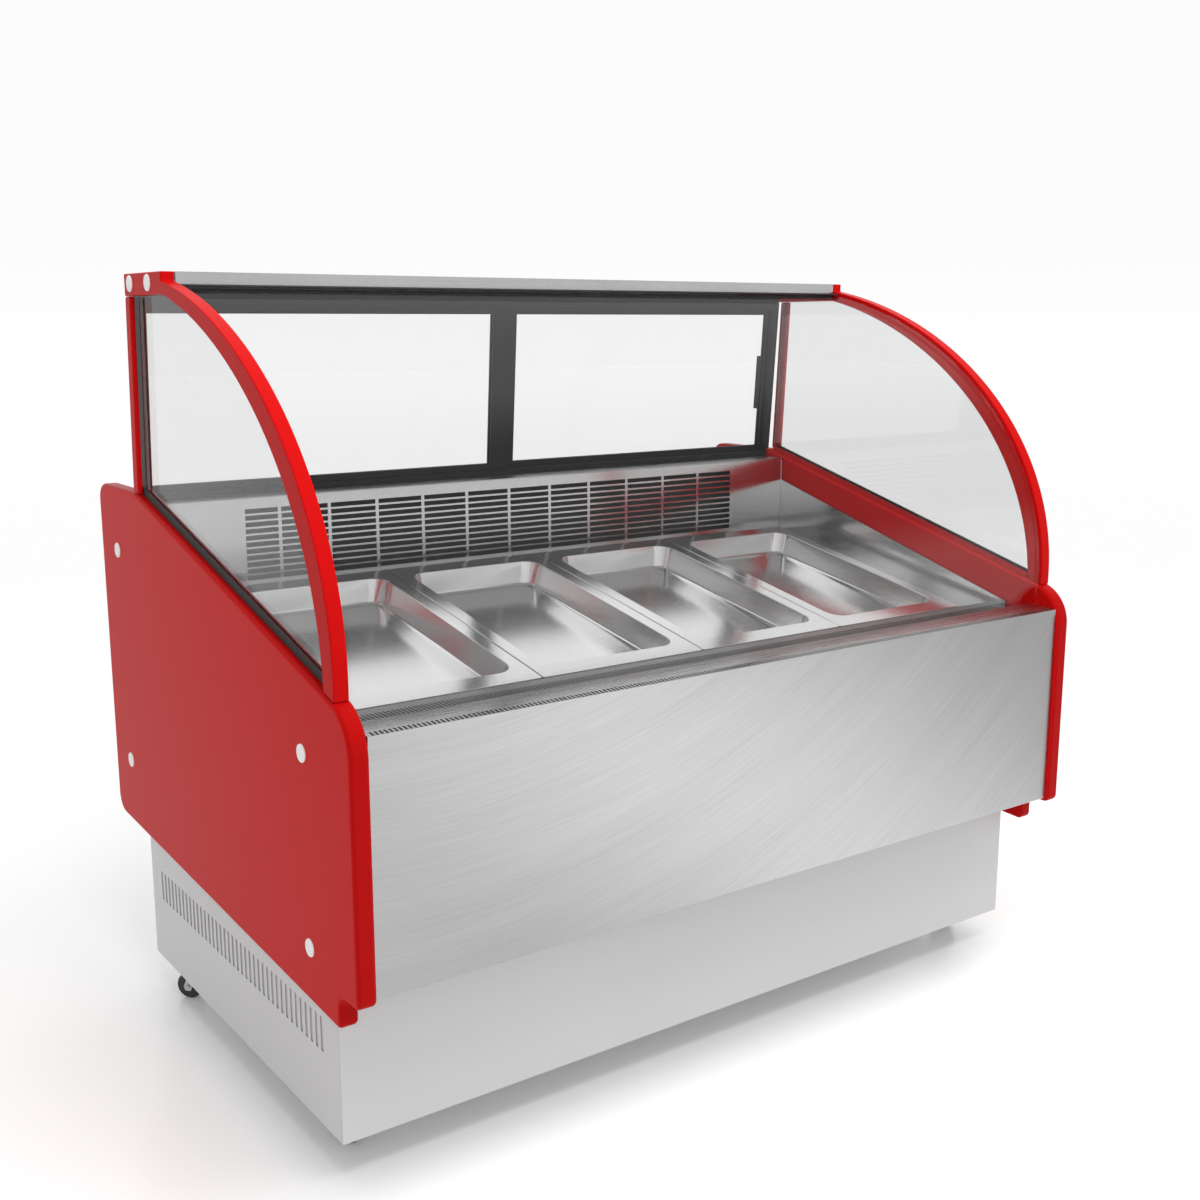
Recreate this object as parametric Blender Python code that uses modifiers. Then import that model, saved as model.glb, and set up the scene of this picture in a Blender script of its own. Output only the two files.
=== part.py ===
"""Refrigerated display counter with curved glass, for serving ice cream from four steel pans.

Units are metres, +Z is up, +X is the server's left, the curved glass faces -Y, and the origin
is on the floor under the middle of the counter's box.
Every sub-part is one closed solid in one object, and moving pieces have their origin on
the axis of their joint.
"""
from math import acos, asin, atan2, cos, pi, radians, sin, tan

import bmesh
import bpy
from mathutils import Matrix, Vector

# ------------------------------------------------------------------ driving dimensions
# Heights here are taken from a datum under the floor; the last lines bring it all down.
FLOOR = 0.025
GAP = 0.0004                   # left between neighbours that touch
SHEET = 0.0012                 # folded steel sheet
SIDE_OUTER = 0.750             # side panels, half of the overall width
SIDE_INNER = 0.720
FRONT_Y, REAR_Y = -0.510, 0.510
SIDE_TOP = 0.9794
KNEE_Y = 0.3076                # where the side panel's top edge starts to fall
TOP_SLOPE = 0.2676             # rise over run of the side panel's top edge
STEP_Y, STEP_Z = -0.450, 0.3519
SIDE_LOW = 0.3003
SIDE_RISE = 0.0552             # rise over run of the side panel's lower edge

FRAME_OUT, FRAME_IN = 0.747, 0.724      # thickness band of the arc frames
ARC_OUT = (0.2961, 0.7985, 0.7579, 0.5485)   # centre Y, centre Z, half axes
ARC_IN = (0.3411, 0.7672, 0.7701, 0.5680)
BRACKET_FRONT, BRACKET_REAR = 0.1187, 0.2989
BRACKET_LOW, BRACKET_TOP = 1.3105, 1.3469
SHELF_HALF, SHELF_LOW = 0.7225, 1.3276

GLASS = 0.006
FRONT_GLASS_HALF = 0.7190
FRONT_GLASS_CURVE = (0.2961, 0.7985, 0.7549, 0.5437)
GLASS_TOP_Y = 0.1086
HINGE_REACH = 0.0065           # from the hinge axis to the glass's edge
HINGE_HALF = 0.7220

FACE_Y = -0.5024               # front panel
FACE_HALF = 0.7195
FACE_LOW, FACE_TOP = 0.3591, 0.7350
FLANGE_REAR = -0.4340

PAN_COUNT = 4
PAN_WIDTH, PAN_LENGTH, PAN_DEPTH = 0.325, 0.530, 0.045
PAN_PITCH = 0.3267
PAN_TILT = radians(10.54)
PAN_FRONT_Y, PAN_FRONT_Z = -0.3277, 0.7203
PAN_LIP = 0.008
PAN_OPENING = (0.273, 0.457)
PAN_OPENING_SHIFT = 0.0035     # the opening sits this far behind the rim's middle
DECK_SHEET = 0.0015
DECK_FLAT_Y = 0.2000           # behind this the deck is level
LINER_HALF = 0.7100

PANEL_Y = 0.2548               # rear interior panel
PANEL_LOW, PANEL_TOP = 0.8043, 0.9610
GRILLE_LEFT, GRILLE_RIGHT = -0.573, 0.557
GRILLE_LOW, GRILLE_TOP = 0.8109, 0.9425
GRILLE_ROWS, GRILLE_PITCH, GRILLE_WEB = 11, 0.0971, 0.0065
WORKTOP_Z, WORKTOP_REAR = 0.9638, 0.500
WORKTOP_CLEAR, WORKTOP_DROP = 0.3600, 0.0010   # the doors stand in a shallow seat in front

DOOR_LEAN = 0.0758             # how far the doors lean forward per metre of height
DOOR_Y, DOOR_Z = 0.3151, 0.9868          # front face, at the foot of the openings
DOOR_HALF, DOOR_DEPTH = 0.7260, 0.0400
DOOR_FOOT, DOOR_HEAD = 0.9633, 1.3270
OPENING_HALF, OPENING_TOP = 0.7128, 1.2824
STILE = 0.0352
MEETING_LEFT, MEETING_RIGHT = 0.0100, 0.0040
DOOR_SIDE = 0.7200
SILL, HEADER = 0.9740, 1.2980
TRACKS = (0.3200, 0.3370)      # front of each leaf
LEAF = 0.0140

BASE_HALF = 0.7273
BASE_UPPER_HALF = 0.7185
BASE_FRONT, BASE_REAR = -0.3961, 0.4093
BASE_LOW, BASE_TOP = 0.0905, 0.4150
LOUVRES, LOUVRE_PITCH, LOUVRE_WIDTH = 39, 0.01815, 0.0085
LOUVRE_LOW, LOUVRE_TOP = 0.2125, 0.2680
LOUVRE_MIDDLE = 0.0095

TANK_HALF, TANK_FRONT, TANK_REAR, TANK_LOW = 0.7150, -0.4700, 0.4690, 0.4163
TANK_TOP = 0.9605
TANK_WALL = 0.040

CASTOR_X, CASTOR_FRONT, CASTOR_REAR = 0.680, -0.270, 0.300
CASTOR_PLATE = 0.003
WHEEL_RADIUS, WHEEL_WIDTH, TRAIL = 0.025, 0.020, 0.025
AXLE_RADIUS = 0.0040
CASTOR_HEADINGS = {            # from the swivel towards the wheel
    "front_left": (0.41, -0.91), "front_right": (0.58, -0.82),
    "rear_left": (-0.67, 0.74), "rear_right": (0.35, 0.94),
}

FINISHES = {                   # base colour, roughness, metallic
    "red_paint": ((0.55, 0.02, 0.02), 0.35, 0.0),
    "red_moulding": ((0.55, 0.02, 0.02), 0.35, 0.0),
    "white_steel": ((0.75, 0.75, 0.75), 0.40, 0.0),
    "brushed_steel": ((0.62, 0.62, 0.62), 0.32, 1.0),
    "polished_steel": ((0.70, 0.70, 0.70), 0.15, 1.0),
    "galvanised": ((0.55, 0.56, 0.57), 0.50, 1.0),
    "black_profile": ((0.03, 0.03, 0.03), 0.40, 0.0),
    "rubber": ((0.02, 0.02, 0.02), 0.80, 0.0),
    "black_plastic": ((0.03, 0.03, 0.03), 0.50, 0.0),
    "grey_plastic": ((0.35, 0.35, 0.36), 0.50, 0.0),
    "light_plastic": ((0.85, 0.85, 0.82), 0.40, 0.0),
    "insulation_white": ((0.80, 0.80, 0.80), 0.50, 0.0),
    "copper": ((0.75, 0.38, 0.22), 0.30, 1.0),
    "fin_aluminium": ((0.75, 0.76, 0.78), 0.40, 1.0),
    "clear_glass": ((0.95, 0.98, 0.97), 0.02, 0.0),
}


# ------------------------------------------------------------------ scene and helpers
for leftover in list(bpy.data.objects):
    bpy.data.objects.remove(leftover, do_unlink=True)
PARTS = bpy.data.collections.new("ice_cream_counter")
CUTTERS = bpy.data.collections.new("cutters")
for collection in (PARTS, CUTTERS):
    bpy.context.scene.collection.children.link(collection)

# columns: where an outline's first axis, second axis and depth point
OUTLINE_AXES = {
    "X": Matrix(((0, 0, 1), (1, 0, 0), (0, 1, 0))),
    "Y": Matrix(((1, 0, 0), (0, 0, -1), (0, 1, 0))),
    "Z": Matrix(((1, 0, 0), (0, 1, 0), (0, 0, 1))),
}
WELD = 1e-5
FLAT_ANGLE = radians(0.4)


def give_finish(obj, finish):
    colour, roughness, metallic = FINISHES[finish]
    material = bpy.data.materials.new(obj.name + "_finish")
    material.use_nodes = True
    shader = material.node_tree.nodes["Principled BSDF"]
    shader.inputs["Base Color"].default_value = (*colour, 1.0)
    shader.inputs["Roughness"].default_value = roughness
    shader.inputs["Metallic"].default_value = metallic
    if finish == "clear_glass":
        shader.inputs["Transmission Weight"].default_value = 1.0
    obj.data.materials.append(material)


def add_object(name, mesh, finish):
    obj = bpy.data.objects.new(name, mesh)
    PARTS.objects.link(obj)
    if finish:
        give_finish(obj, finish)
    return obj


def tidy_mesh(mesh):
    """Weld loose caps, merge coplanar triangles and turn the faces outwards."""
    bm = bmesh.new()
    bm.from_mesh(mesh)
    bmesh.ops.remove_doubles(bm, verts=bm.verts, dist=WELD)
    bmesh.ops.dissolve_limit(bm, angle_limit=FLAT_ANGLE, verts=bm.verts, edges=bm.edges)
    bmesh.ops.recalc_face_normals(bm, faces=bm.faces)
    bm.to_mesh(mesh)
    bm.free()


def round_edges(obj, width, segments=2, angle=radians(35)):
    bevel = obj.modifiers.new("rounded_edges", "BEVEL")
    bevel.width = width
    bevel.segments = segments
    bevel.limit_method = "ANGLE"
    bevel.angle_limit = angle


def prism(name, outline, axis, start, end, finish=None, holes=(), bevel=0.0):
    """A flat outline, with any holes, given thickness along one axis."""
    curve = bpy.data.curves.new(name, "CURVE")
    curve.dimensions = "2D"
    curve.fill_mode = "BOTH"
    curve.extrude = abs(end - start) / 2
    for points in (outline, *holes):
        spline = curve.splines.new("POLY")
        spline.points.add(len(points) - 1)
        for point, (a, b) in zip(spline.points, points):
            point.co = (a, b, 0.0, 1.0)
        spline.use_cyclic_u = True
    flat = bpy.data.objects.new(name + "_outline", curve)
    bpy.context.scene.collection.objects.link(flat)
    depsgraph = bpy.context.evaluated_depsgraph_get()
    mesh = bpy.data.meshes.new_from_object(flat.evaluated_get(depsgraph))
    bpy.data.objects.remove(flat, do_unlink=True)
    bpy.data.curves.remove(curve)
    mesh.name = name
    middle = Vector([(start + end) / 2 if letter == axis else 0.0 for letter in "XYZ"])
    mesh.transform(Matrix.Translation(middle) @ OUTLINE_AXES[axis].to_4x4())
    tidy_mesh(mesh)
    obj = add_object(name, mesh, finish)
    if bevel:
        round_edges(obj, bevel)
    return obj


def box(name, low, high, finish=None, bevel=0.0):
    low, high = Vector(low), Vector(high)
    bm = bmesh.new()
    size = Matrix.Diagonal((high - low).to_4d())
    bmesh.ops.create_cube(bm, size=1.0, matrix=Matrix.Translation((low + high) / 2) @ size)
    mesh = bpy.data.meshes.new(name)
    bm.to_mesh(mesh)
    bm.free()
    obj = add_object(name, mesh, finish)
    if bevel:
        round_edges(obj, bevel)
    return obj


def cylinder(name, start, end, radius, finish=None, sides=24):
    start, end = Vector(start), Vector(end)
    turn = (end - start).to_track_quat("Z", "Y").to_matrix().to_4x4()
    bm = bmesh.new()
    bmesh.ops.create_cone(bm, cap_ends=True, segments=sides, radius1=radius, radius2=radius,
                          depth=(end - start).length,
                          matrix=Matrix.Translation((start + end) / 2) @ turn)
    mesh = bpy.data.meshes.new(name)
    bm.to_mesh(mesh)
    bm.free()
    mesh.shade_smooth()
    mesh.set_sharp_from_angle(angle=radians(40))
    return add_object(name, mesh, finish)


def turned(name, profile, finish, steps=28):
    """A profile of (radius, height), outer side first from top to bottom, spun about Z."""
    mesh = bpy.data.meshes.new(name)
    bm = bmesh.new()
    corners = [bm.verts.new((radius, 0.0, height)) for radius, height in profile]
    closed = profile[0][0] > WELD or profile[-1][0] > WELD
    for a, b in zip(corners, corners[1:] + (corners[:1] if closed else [])):
        bm.edges.new((a, b))
    bm.to_mesh(mesh)
    bm.free()
    obj = add_object(name, mesh, finish)
    screw = obj.modifiers.new("turned", "SCREW")
    screw.axis = "Z"
    screw.steps = screw.render_steps = steps
    screw.use_merge_vertices = True
    screw.merge_threshold = WELD
    screw.use_normal_calculate = True
    screw.use_smooth_shade = True
    return obj


def tube(name, points, radius, finish):
    """A round tube along a polyline."""
    curve = bpy.data.curves.new(name, "CURVE")
    curve.dimensions = "3D"
    curve.bevel_depth = radius
    curve.bevel_resolution = 2
    curve.use_fill_caps = True
    spline = curve.splines.new("POLY")
    spline.points.add(len(points) - 1)
    for point, place in zip(spline.points, points):
        point.co = (*place, 1.0)
    obj = bpy.data.objects.new(name, curve)
    PARTS.objects.link(obj)
    give_finish(obj, finish)
    return obj


def use_as_tool(obj, operation, tools):
    for tool in tools:
        for modifier in list(tool.modifiers):
            if modifier.type == "BEVEL":
                tool.modifiers.remove(modifier)
        PARTS.objects.unlink(tool)
        CUTTERS.objects.link(tool)
        tool.hide_render = True
        tool.display_type = "WIRE"
        boolean = obj.modifiers.new(operation.lower(), "BOOLEAN")
        boolean.operation = operation
        boolean.solver = "EXACT"
        boolean.object = tool


def cut(obj, *tools):
    use_as_tool(obj, "DIFFERENCE", tools)


def join(obj, *tools):
    use_as_tool(obj, "UNION", tools)


def set_pivot(obj, pivot):
    """Put the object's origin on its joint's axis and leave its shape where it is."""
    pivot = Vector(pivot)
    obj.data.transform(Matrix.Translation(-pivot))
    obj.location = pivot


def lean_forward(obj):
    """Shear a door part so that its head leans towards the customer."""
    lean = Matrix.Identity(4)
    lean[1][2] = -DOOR_LEAN
    lean[1][3] = DOOR_LEAN * DOOR_Z
    obj.data.transform(lean)


# ------------------------------------------------------------------ outlines
def rounded(corners, steps=5):
    """An outline from (a, b, radius) corners, each rounded by an arc."""
    points = []
    count = len(corners)
    for i, (a, b, radius) in enumerate(corners):
        here = Vector((a, b))
        back = (Vector(corners[i - 1][:2]) - here).normalized()
        ahead = (Vector(corners[(i + 1) % count][:2]) - here).normalized()
        half = back.angle(ahead) / 2
        if radius <= 0 or half > radians(89.5):
            points.append((a, b))
            continue
        reach = radius / tan(half)
        centre = here + (back + ahead).normalized() * (radius / sin(half))
        first = here + back * reach - centre
        sweep = (here + ahead * reach - centre).angle_signed(first)
        for step in range(steps + 1):
            turn = Matrix.Rotation(sweep * step / steps, 2)
            points.append(tuple(centre + turn @ first))
    return points


def rectangle(low_a, high_a, low_b, high_b, radius=0.0, steps=4):
    corners = ((low_a, low_b), (high_a, low_b), (high_a, high_b), (low_a, high_b))
    return rounded([(a, b, radius) for a, b in corners], steps)


def strip(path, thickness):
    """A folded sheet seen from its edge: a path, thickened to its left side."""
    path = [Vector(point) for point in path]
    offset = []
    for i, here in enumerate(path):
        ahead = (path[min(i + 1, len(path) - 1)] - path[min(i, len(path) - 2)]).normalized()
        back = (path[max(i, 1)] - path[max(i - 1, 0)]).normalized()
        normal = (Vector((-ahead.y, ahead.x)) + Vector((-back.y, back.x))).normalized()
        offset.append(here + normal * thickness / normal.dot(Vector((-ahead.y, ahead.x))))
    return [tuple(point) for point in path + offset[::-1]]


def arc_points(centre, radius, first, last, steps):
    """Points on a circle, with angles in degrees."""
    angles = [radians(first + (last - first) * i / steps) for i in range(steps + 1)]
    return [(centre[0] + radius * cos(t), centre[1] + radius * sin(t)) for t in angles]


def ellipse_points(curve, last_y, steps, shrink=0.0, first_z=0.0):
    """Points up an ellipse's front quarter, from its middle height or first_z to last_y."""
    centre_y, centre_z, half_y, half_z = curve
    half_y, half_z = half_y - shrink, half_z - shrink
    first = asin(max(0.0, (first_z - centre_z) / half_z))
    last = acos((centre_y - last_y) / half_y)
    angles = [first + (last - first) * i / steps for i in range(steps + 1)]
    return [(centre_y - half_y * cos(t), centre_z + half_z * sin(t)) for t in angles]


def side_top(y):
    """Height of the side panel's top edge."""
    return SIDE_TOP + min(0.0, y - KNEE_Y) * TOP_SLOPE


def side_bottom(y):
    """Height of the side panel's lower edge."""
    return SIDE_LOW + (y - STEP_Y) * SIDE_RISE


def deck_height(y):
    """Height of the deck's upper face."""
    return PAN_FRONT_Z - PAN_LIP + (min(y, DECK_FLAT_Y) - PAN_FRONT_Y) * tan(PAN_TILT)


# ------------------------------------------------------------------ base and machine space
def build_base_frame():
    frame = box("base_frame", (-0.7250, BASE_FRONT + 0.002, BASE_LOW + GAP),
                (0.7250, BASE_REAR - 0.002, BASE_LOW + 0.003), "galvanised")
    post, inset, rail = 0.030, 0.0040, 0.025
    tools = []
    for x in (-0.7160, 0.7160 - post):
        for y in (BASE_FRONT + inset, BASE_REAR - inset - post):
            tools.append(box("frame_post", (x, y, BASE_LOW + 0.001),
                             (x + post, y + post, TANK_LOW - GAP)))
    for y in (BASE_FRONT + inset, BASE_REAR - inset - post):
        tools.append(box("frame_rail", (-0.7000, y + 0.002, TANK_LOW - GAP - rail),
                         (0.7000, y + post - 0.002, TANK_LOW - 2 * GAP)))
    half = 0.026
    for x in (-CASTOR_X, CASTOR_X):
        for y in (CASTOR_FRONT, CASTOR_REAR):
            tools.append(box("castor_plate", (x - half, y - half, BASE_LOW - CASTOR_PLATE),
                             (x + half, y + half, BASE_LOW + 0.001)))
    join(frame, *tools)


def base_face(top_of_wide_part):
    """Front or rear skin: wide below the side panels, narrow between them."""
    return [(-BASE_HALF, BASE_LOW), (BASE_HALF, BASE_LOW), (BASE_HALF, top_of_wide_part),
            (BASE_UPPER_HALF, top_of_wide_part), (BASE_UPPER_HALF, BASE_TOP),
            (-BASE_UPPER_HALF, BASE_TOP), (-BASE_UPPER_HALF, top_of_wide_part),
            (-BASE_HALF, top_of_wide_part)]


INLET_X, INLET_Z = 0.560, 0.165
INLET_HALF_X, INLET_HALF_Z = 0.0150, 0.0110


def build_base_panels():
    clear = 0.001
    prism("base_front_panel", base_face(side_bottom(BASE_FRONT) - clear), "Y",
          BASE_FRONT, BASE_FRONT + SHEET, "white_steel")
    hole = rectangle(INLET_X - INLET_HALF_X - GAP, INLET_X + INLET_HALF_X + GAP,
                     INLET_Z - INLET_HALF_Z - GAP, INLET_Z + INLET_HALF_Z + GAP)
    prism("base_rear_panel", base_face(side_bottom(BASE_REAR) - 2 * clear), "Y",
          BASE_REAR - SHEET, BASE_REAR, "white_steel", holes=[hole])
    front, rear = BASE_FRONT + SHEET + GAP, BASE_REAR - SHEET - GAP
    outline = [(front, BASE_LOW), (rear, BASE_LOW), (rear, side_bottom(rear) - clear),
               (front, side_bottom(front) - clear)]
    slots = []
    for i in range(LOUVRES):
        middle = LOUVRE_MIDDLE + (i - (LOUVRES - 1) / 2) * LOUVRE_PITCH
        slots.append(rectangle(middle - LOUVRE_WIDTH / 2, middle + LOUVRE_WIDTH / 2,
                               LOUVRE_LOW, LOUVRE_TOP))
    for name, side in (("base_left_panel", -1), ("base_right_panel", 1)):
        prism(name, outline, "X", side * BASE_HALF, side * (BASE_HALF - SHEET),
              "white_steel", holes=slots)


def build_castor(corner, x, y):
    heading = Vector((*CASTOR_HEADINGS[corner], 0.0)).normalized()
    turn = Matrix.Rotation(atan2(heading.y, heading.x), 4, "Z")
    plate_low = BASE_LOW - FLOOR - CASTOR_PLATE
    crown_top, crown_low = plate_low - 0.0008, plate_low - 0.0058
    cheek_in, cheek_out = WHEEL_WIDTH / 2 + 0.0015, WHEEL_WIDTH / 2 + 0.0040

    fork = cylinder("castor_fork_" + corner, (0, 0, crown_low), (0, 0, crown_top), 0.0190,
                    "galvanised")
    cheek = [(-0.014, crown_top - 0.0010), (0.017, crown_top - 0.0010),
             (0.024, crown_low - 0.0080), (TRAIL + 0.0085, WHEEL_RADIUS),
             (TRAIL + 0.0055, WHEEL_RADIUS - 0.0075), (TRAIL - 0.0055, WHEEL_RADIUS - 0.0075),
             (TRAIL - 0.0085, WHEEL_RADIUS)]
    cheeks = [prism("fork_cheek", cheek, "Y", side * cheek_in, side * cheek_out)
              for side in (-1, 1)]
    bridge = box("fork_bridge", (-0.014, -cheek_out, crown_low),
                 (0.017, cheek_out, crown_top - 0.0012))
    axle = cylinder("fork_axle", (TRAIL, -cheek_out - 0.002, WHEEL_RADIUS),
                    (TRAIL, cheek_out + 0.002, WHEEL_RADIUS), AXLE_RADIUS, sides=16)
    tools = [*cheeks, bridge, axle]
    join(fork, *tools)

    half = WHEEL_WIDTH / 2
    bore = AXLE_RADIUS + 0.0005
    profile = [(WHEEL_RADIUS - 0.003, half), (WHEEL_RADIUS, half - 0.004),
               (WHEEL_RADIUS, -half + 0.004), (WHEEL_RADIUS - 0.003, -half),
               (bore, -half), (bore, half)]
    wheel = turned("castor_wheel_" + corner, profile, "black_plastic", steps=32)

    swivel = Matrix.Translation((x, y, FLOOR)) @ turn
    for piece in (fork, *tools):
        piece.matrix_world = swivel
    wheel.matrix_world = (swivel @ Matrix.Translation((TRAIL, 0.0, WHEEL_RADIUS))
                          @ Matrix.Rotation(radians(90), 4, "X"))


def build_castors():
    for name_y, y in (("front", CASTOR_FRONT), ("rear", CASTOR_REAR)):
        for name_x, x in (("left", -CASTOR_X), ("right", CASTOR_X)):
            build_castor(name_y + "_" + name_x, x, y)


def build_fan(name, centre, axis, radius, depth, finish):
    """A hub with pitched blades, modelled about +Z and then turned onto its axis."""
    hub_radius, blades, blade_width, pitch = radius * 0.28, 5, radius * 0.55, radians(28)
    fan = cylinder(name, (0, 0, -depth / 2), (0, 0, depth / 2), hub_radius, finish)
    tools = []
    for i in range(blades):
        blade = box("fan_blade", (hub_radius * 0.8, -blade_width / 2, -0.0010),
                    (radius, blade_width / 2, 0.0010))
        blade.data.transform(Matrix.Rotation(2 * pi * i / blades, 4, "Z")
                             @ Matrix.Rotation(pitch, 4, "X"))
        tools.append(blade)
    join(fan, *tools)
    turn = Vector(axis).to_track_quat("Z", "Y").to_matrix().to_4x4()
    for piece in (fan, *tools):
        piece.matrix_world = Matrix.Translation(centre) @ turn


COMPRESSOR = Vector((-0.380, -0.020, 0.0))
CONDENSER_FAN = Vector((-0.604, -0.040, 0.240))
EVAPORATOR_FAN = Vector((0.0, 0.2700, 0.640))
FAN_RADIUS = 0.095


def build_cooling_unit():
    floor = BASE_LOW + 0.003 + GAP
    profile = [(0.0, 0.190), (0.050, 0.183), (0.078, 0.160), (0.085, 0.130), (0.085, 0.060),
               (0.072, 0.025), (0.050, 0.014), (0.0, 0.012)]
    compressor = turned("compressor", profile, "black_plastic", steps=28)
    compressor.location = COMPRESSOR + Vector((0, 0, floor))
    feet = [box("compressor_foot", (-0.100, y - 0.015, 0.0), (0.100, y + 0.015, 0.018))
            for y in (-0.055, 0.055)]
    join(compressor, *feet)
    for foot in feet:
        foot.location = compressor.location

    coil = box("condenser_coil", (-0.700, -0.190, floor), (-0.655, 0.110, 0.380),
               "fin_aluminium")
    bends = [cylinder("coil_bend", (-0.6775, 0.109, z), (-0.6775, 0.123, z), 0.0050, sides=12)
             for z in (0.14, 0.19, 0.24, 0.29, 0.34)]
    join(coil, *bends)
    shroud_hole = arc_points((CONDENSER_FAN.y, CONDENSER_FAN.z), FAN_RADIUS + 0.005, 0, 350, 35)
    prism("condenser_fan_shroud", rectangle(-0.190, 0.110, floor, 0.380), "X",
          -0.6540, -0.5900, "galvanised", holes=[shroud_hole])
    build_fan("condenser_fan", CONDENSER_FAN, (1, 0, 0), FAN_RADIUS, 0.030, "black_plastic")

    tray = box("drip_tray", (0.060, -0.140, floor), (0.400, 0.180, floor + 0.035),
               "light_plastic")
    cut(tray, box("drip_tray_hollow", (0.062, -0.138, floor + 0.002), (0.398, 0.178, 0.2)))

    discharge = [(COMPRESSOR.x - 0.090, -0.060, 0.200), (-0.500, -0.060, 0.205),
                 (-0.560, -0.100, 0.300), (-0.560, -0.140, 0.392), (-0.600, -0.150, 0.398),
                 (-0.670, -0.150, 0.398), (-0.677, -0.150, 0.3815)]
    tube("discharge_line", discharge, 0.0040, "copper")


def build_tank():
    """Foamed tub with a raised rear for the evaporator space."""
    behind_panel = PANEL_Y + 0.0035
    outline = [(TANK_FRONT, TANK_LOW), (TANK_REAR, TANK_LOW), (TANK_REAR, TANK_TOP),
               (behind_panel, TANK_TOP), (behind_panel, deck_height(behind_panel) - 0.007),
               (DECK_FLAT_Y, deck_height(DECK_FLAT_Y) - 0.007),
               (PAN_FRONT_Y, deck_height(PAN_FRONT_Y) - 0.007), (TANK_FRONT, 0.7050)]
    tank = prism("insulated_tank", outline, "X", -TANK_HALF, TANK_HALF, "insulation_white")
    hollow = rectangle(-TANK_HALF + TANK_WALL, TANK_HALF - TANK_WALL,
                       TANK_FRONT + 0.050, TANK_REAR - TANK_WALL, 0.020)
    cut(tank, prism("tank_hollow", hollow, "Z", TANK_LOW + 0.060, 1.1))


def build_evaporator():
    cavity_floor = TANK_LOW + 0.060
    coil = box("evaporator_coil", (-0.480, 0.305, 0.520), (0.480, 0.395, 0.790),
               "fin_aluminium")
    bends = [cylinder("coil_bend", (0.478, 0.350, z), (0.500, 0.350, z), 0.0050, sides=12)
             for z in (0.55, 0.60, 0.65, 0.70, 0.75)]
    join(coil, *bends)
    hole = arc_points((EVAPORATOR_FAN.x, EVAPORATOR_FAN.z), FAN_RADIUS + 0.005, 0, 350, 35)
    prism("evaporator_fan_housing", rectangle(-0.500, 0.500, cavity_floor + GAP, 0.798), "Y",
          0.2560, 0.2840, "light_plastic", holes=[hole])
    build_fan("evaporator_fan", EVAPORATOR_FAN, (0, 1, 0), FAN_RADIUS, 0.022, "black_plastic")


# ------------------------------------------------------------------ controls
CONTROL_X, CONTROL_Z = 0.450, 0.898
KNOB_X, SWITCH_X = CONTROL_X - 0.035, CONTROL_X + 0.040
CONTROL_FACE = 0.4960
SWITCH_PIVOT_Y = 0.4905


def build_controls():
    panel = box("control_panel", (CONTROL_X - 0.090, TANK_REAR + GAP, CONTROL_Z - 0.030),
                (CONTROL_X + 0.090, CONTROL_FACE, CONTROL_Z + 0.030), "grey_plastic", 0.002)
    cut(panel, box("switch_recess", (SWITCH_X - 0.0105, 0.4800, CONTROL_Z - 0.0140),
                   (SWITCH_X + 0.0105, 0.6000, CONTROL_Z + 0.0140)))
    switch = box("power_switch", (-0.0095, -0.0060, -0.0110), (0.0095, 0.0085, 0.0110),
                 "black_plastic", 0.0010)
    switch.data.transform(Matrix.Rotation(radians(8), 4, "X"))
    switch.location = (SWITCH_X, SWITCH_PIVOT_Y, CONTROL_Z)

    knob = cylinder("thermostat_knob", (0, 0, 0), (0, 0.0120, 0), 0.0150, "black_plastic", 32)
    join(knob, box("knob_pointer", (-0.0016, 0.0100, 0.0), (0.0016, 0.0132, 0.0145)))
    for piece in (knob, bpy.data.objects["knob_pointer"]):
        piece.location = (KNOB_X, CONTROL_FACE + GAP, CONTROL_Z)

    inlet = box("power_inlet",
                (INLET_X - INLET_HALF_X, BASE_REAR - 0.024, INLET_Z - INLET_HALF_Z),
                (INLET_X + INLET_HALF_X, BASE_REAR + 0.001, INLET_Z + INLET_HALF_Z),
                "black_plastic")
    join(inlet, box("inlet_flange", (INLET_X - 0.0250, BASE_REAR + GAP, INLET_Z - 0.0150),
                    (INLET_X + 0.0250, BASE_REAR + 0.0030, INLET_Z + 0.0150)))
    cut(inlet, box("inlet_socket", (INLET_X - 0.0120, BASE_REAR - 0.0180, INLET_Z - 0.0080),
                   (INLET_X + 0.0120, BASE_REAR + 0.1000, INLET_Z + 0.0080)))


# ------------------------------------------------------------------ cabinet skins and deck
def build_side_panels():
    corners = [(FRONT_Y, STEP_Z, 0.012), (FRONT_Y, side_top(FRONT_Y), 0.075),
               (KNEE_Y, SIDE_TOP, 0.030), (REAR_Y, SIDE_TOP, 0.030),
               (REAR_Y, side_bottom(REAR_Y), 0.035), (STEP_Y, SIDE_LOW, 0.010),
               (STEP_Y, STEP_Z, 0.018)]
    outline = rounded(corners, 8)
    for name, side in (("left_side_panel", -1), ("right_side_panel", 1)):
        prism(name, outline, "X", side * SIDE_INNER, side * SIDE_OUTER, "red_moulding",
              bevel=0.006)


def build_front_panel():
    down = 0.0165
    path = [(FLANGE_REAR, FACE_TOP - down), (FLANGE_REAR, FACE_TOP), (FACE_Y, FACE_TOP),
            (FACE_Y, FACE_LOW), (FACE_Y + 0.020, FACE_LOW)]
    prism("front_panel", strip(path, SHEET), "X", -FACE_HALF, FACE_HALF, "brushed_steel")


AIR_STRIP_TOP = 0.7173


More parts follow.
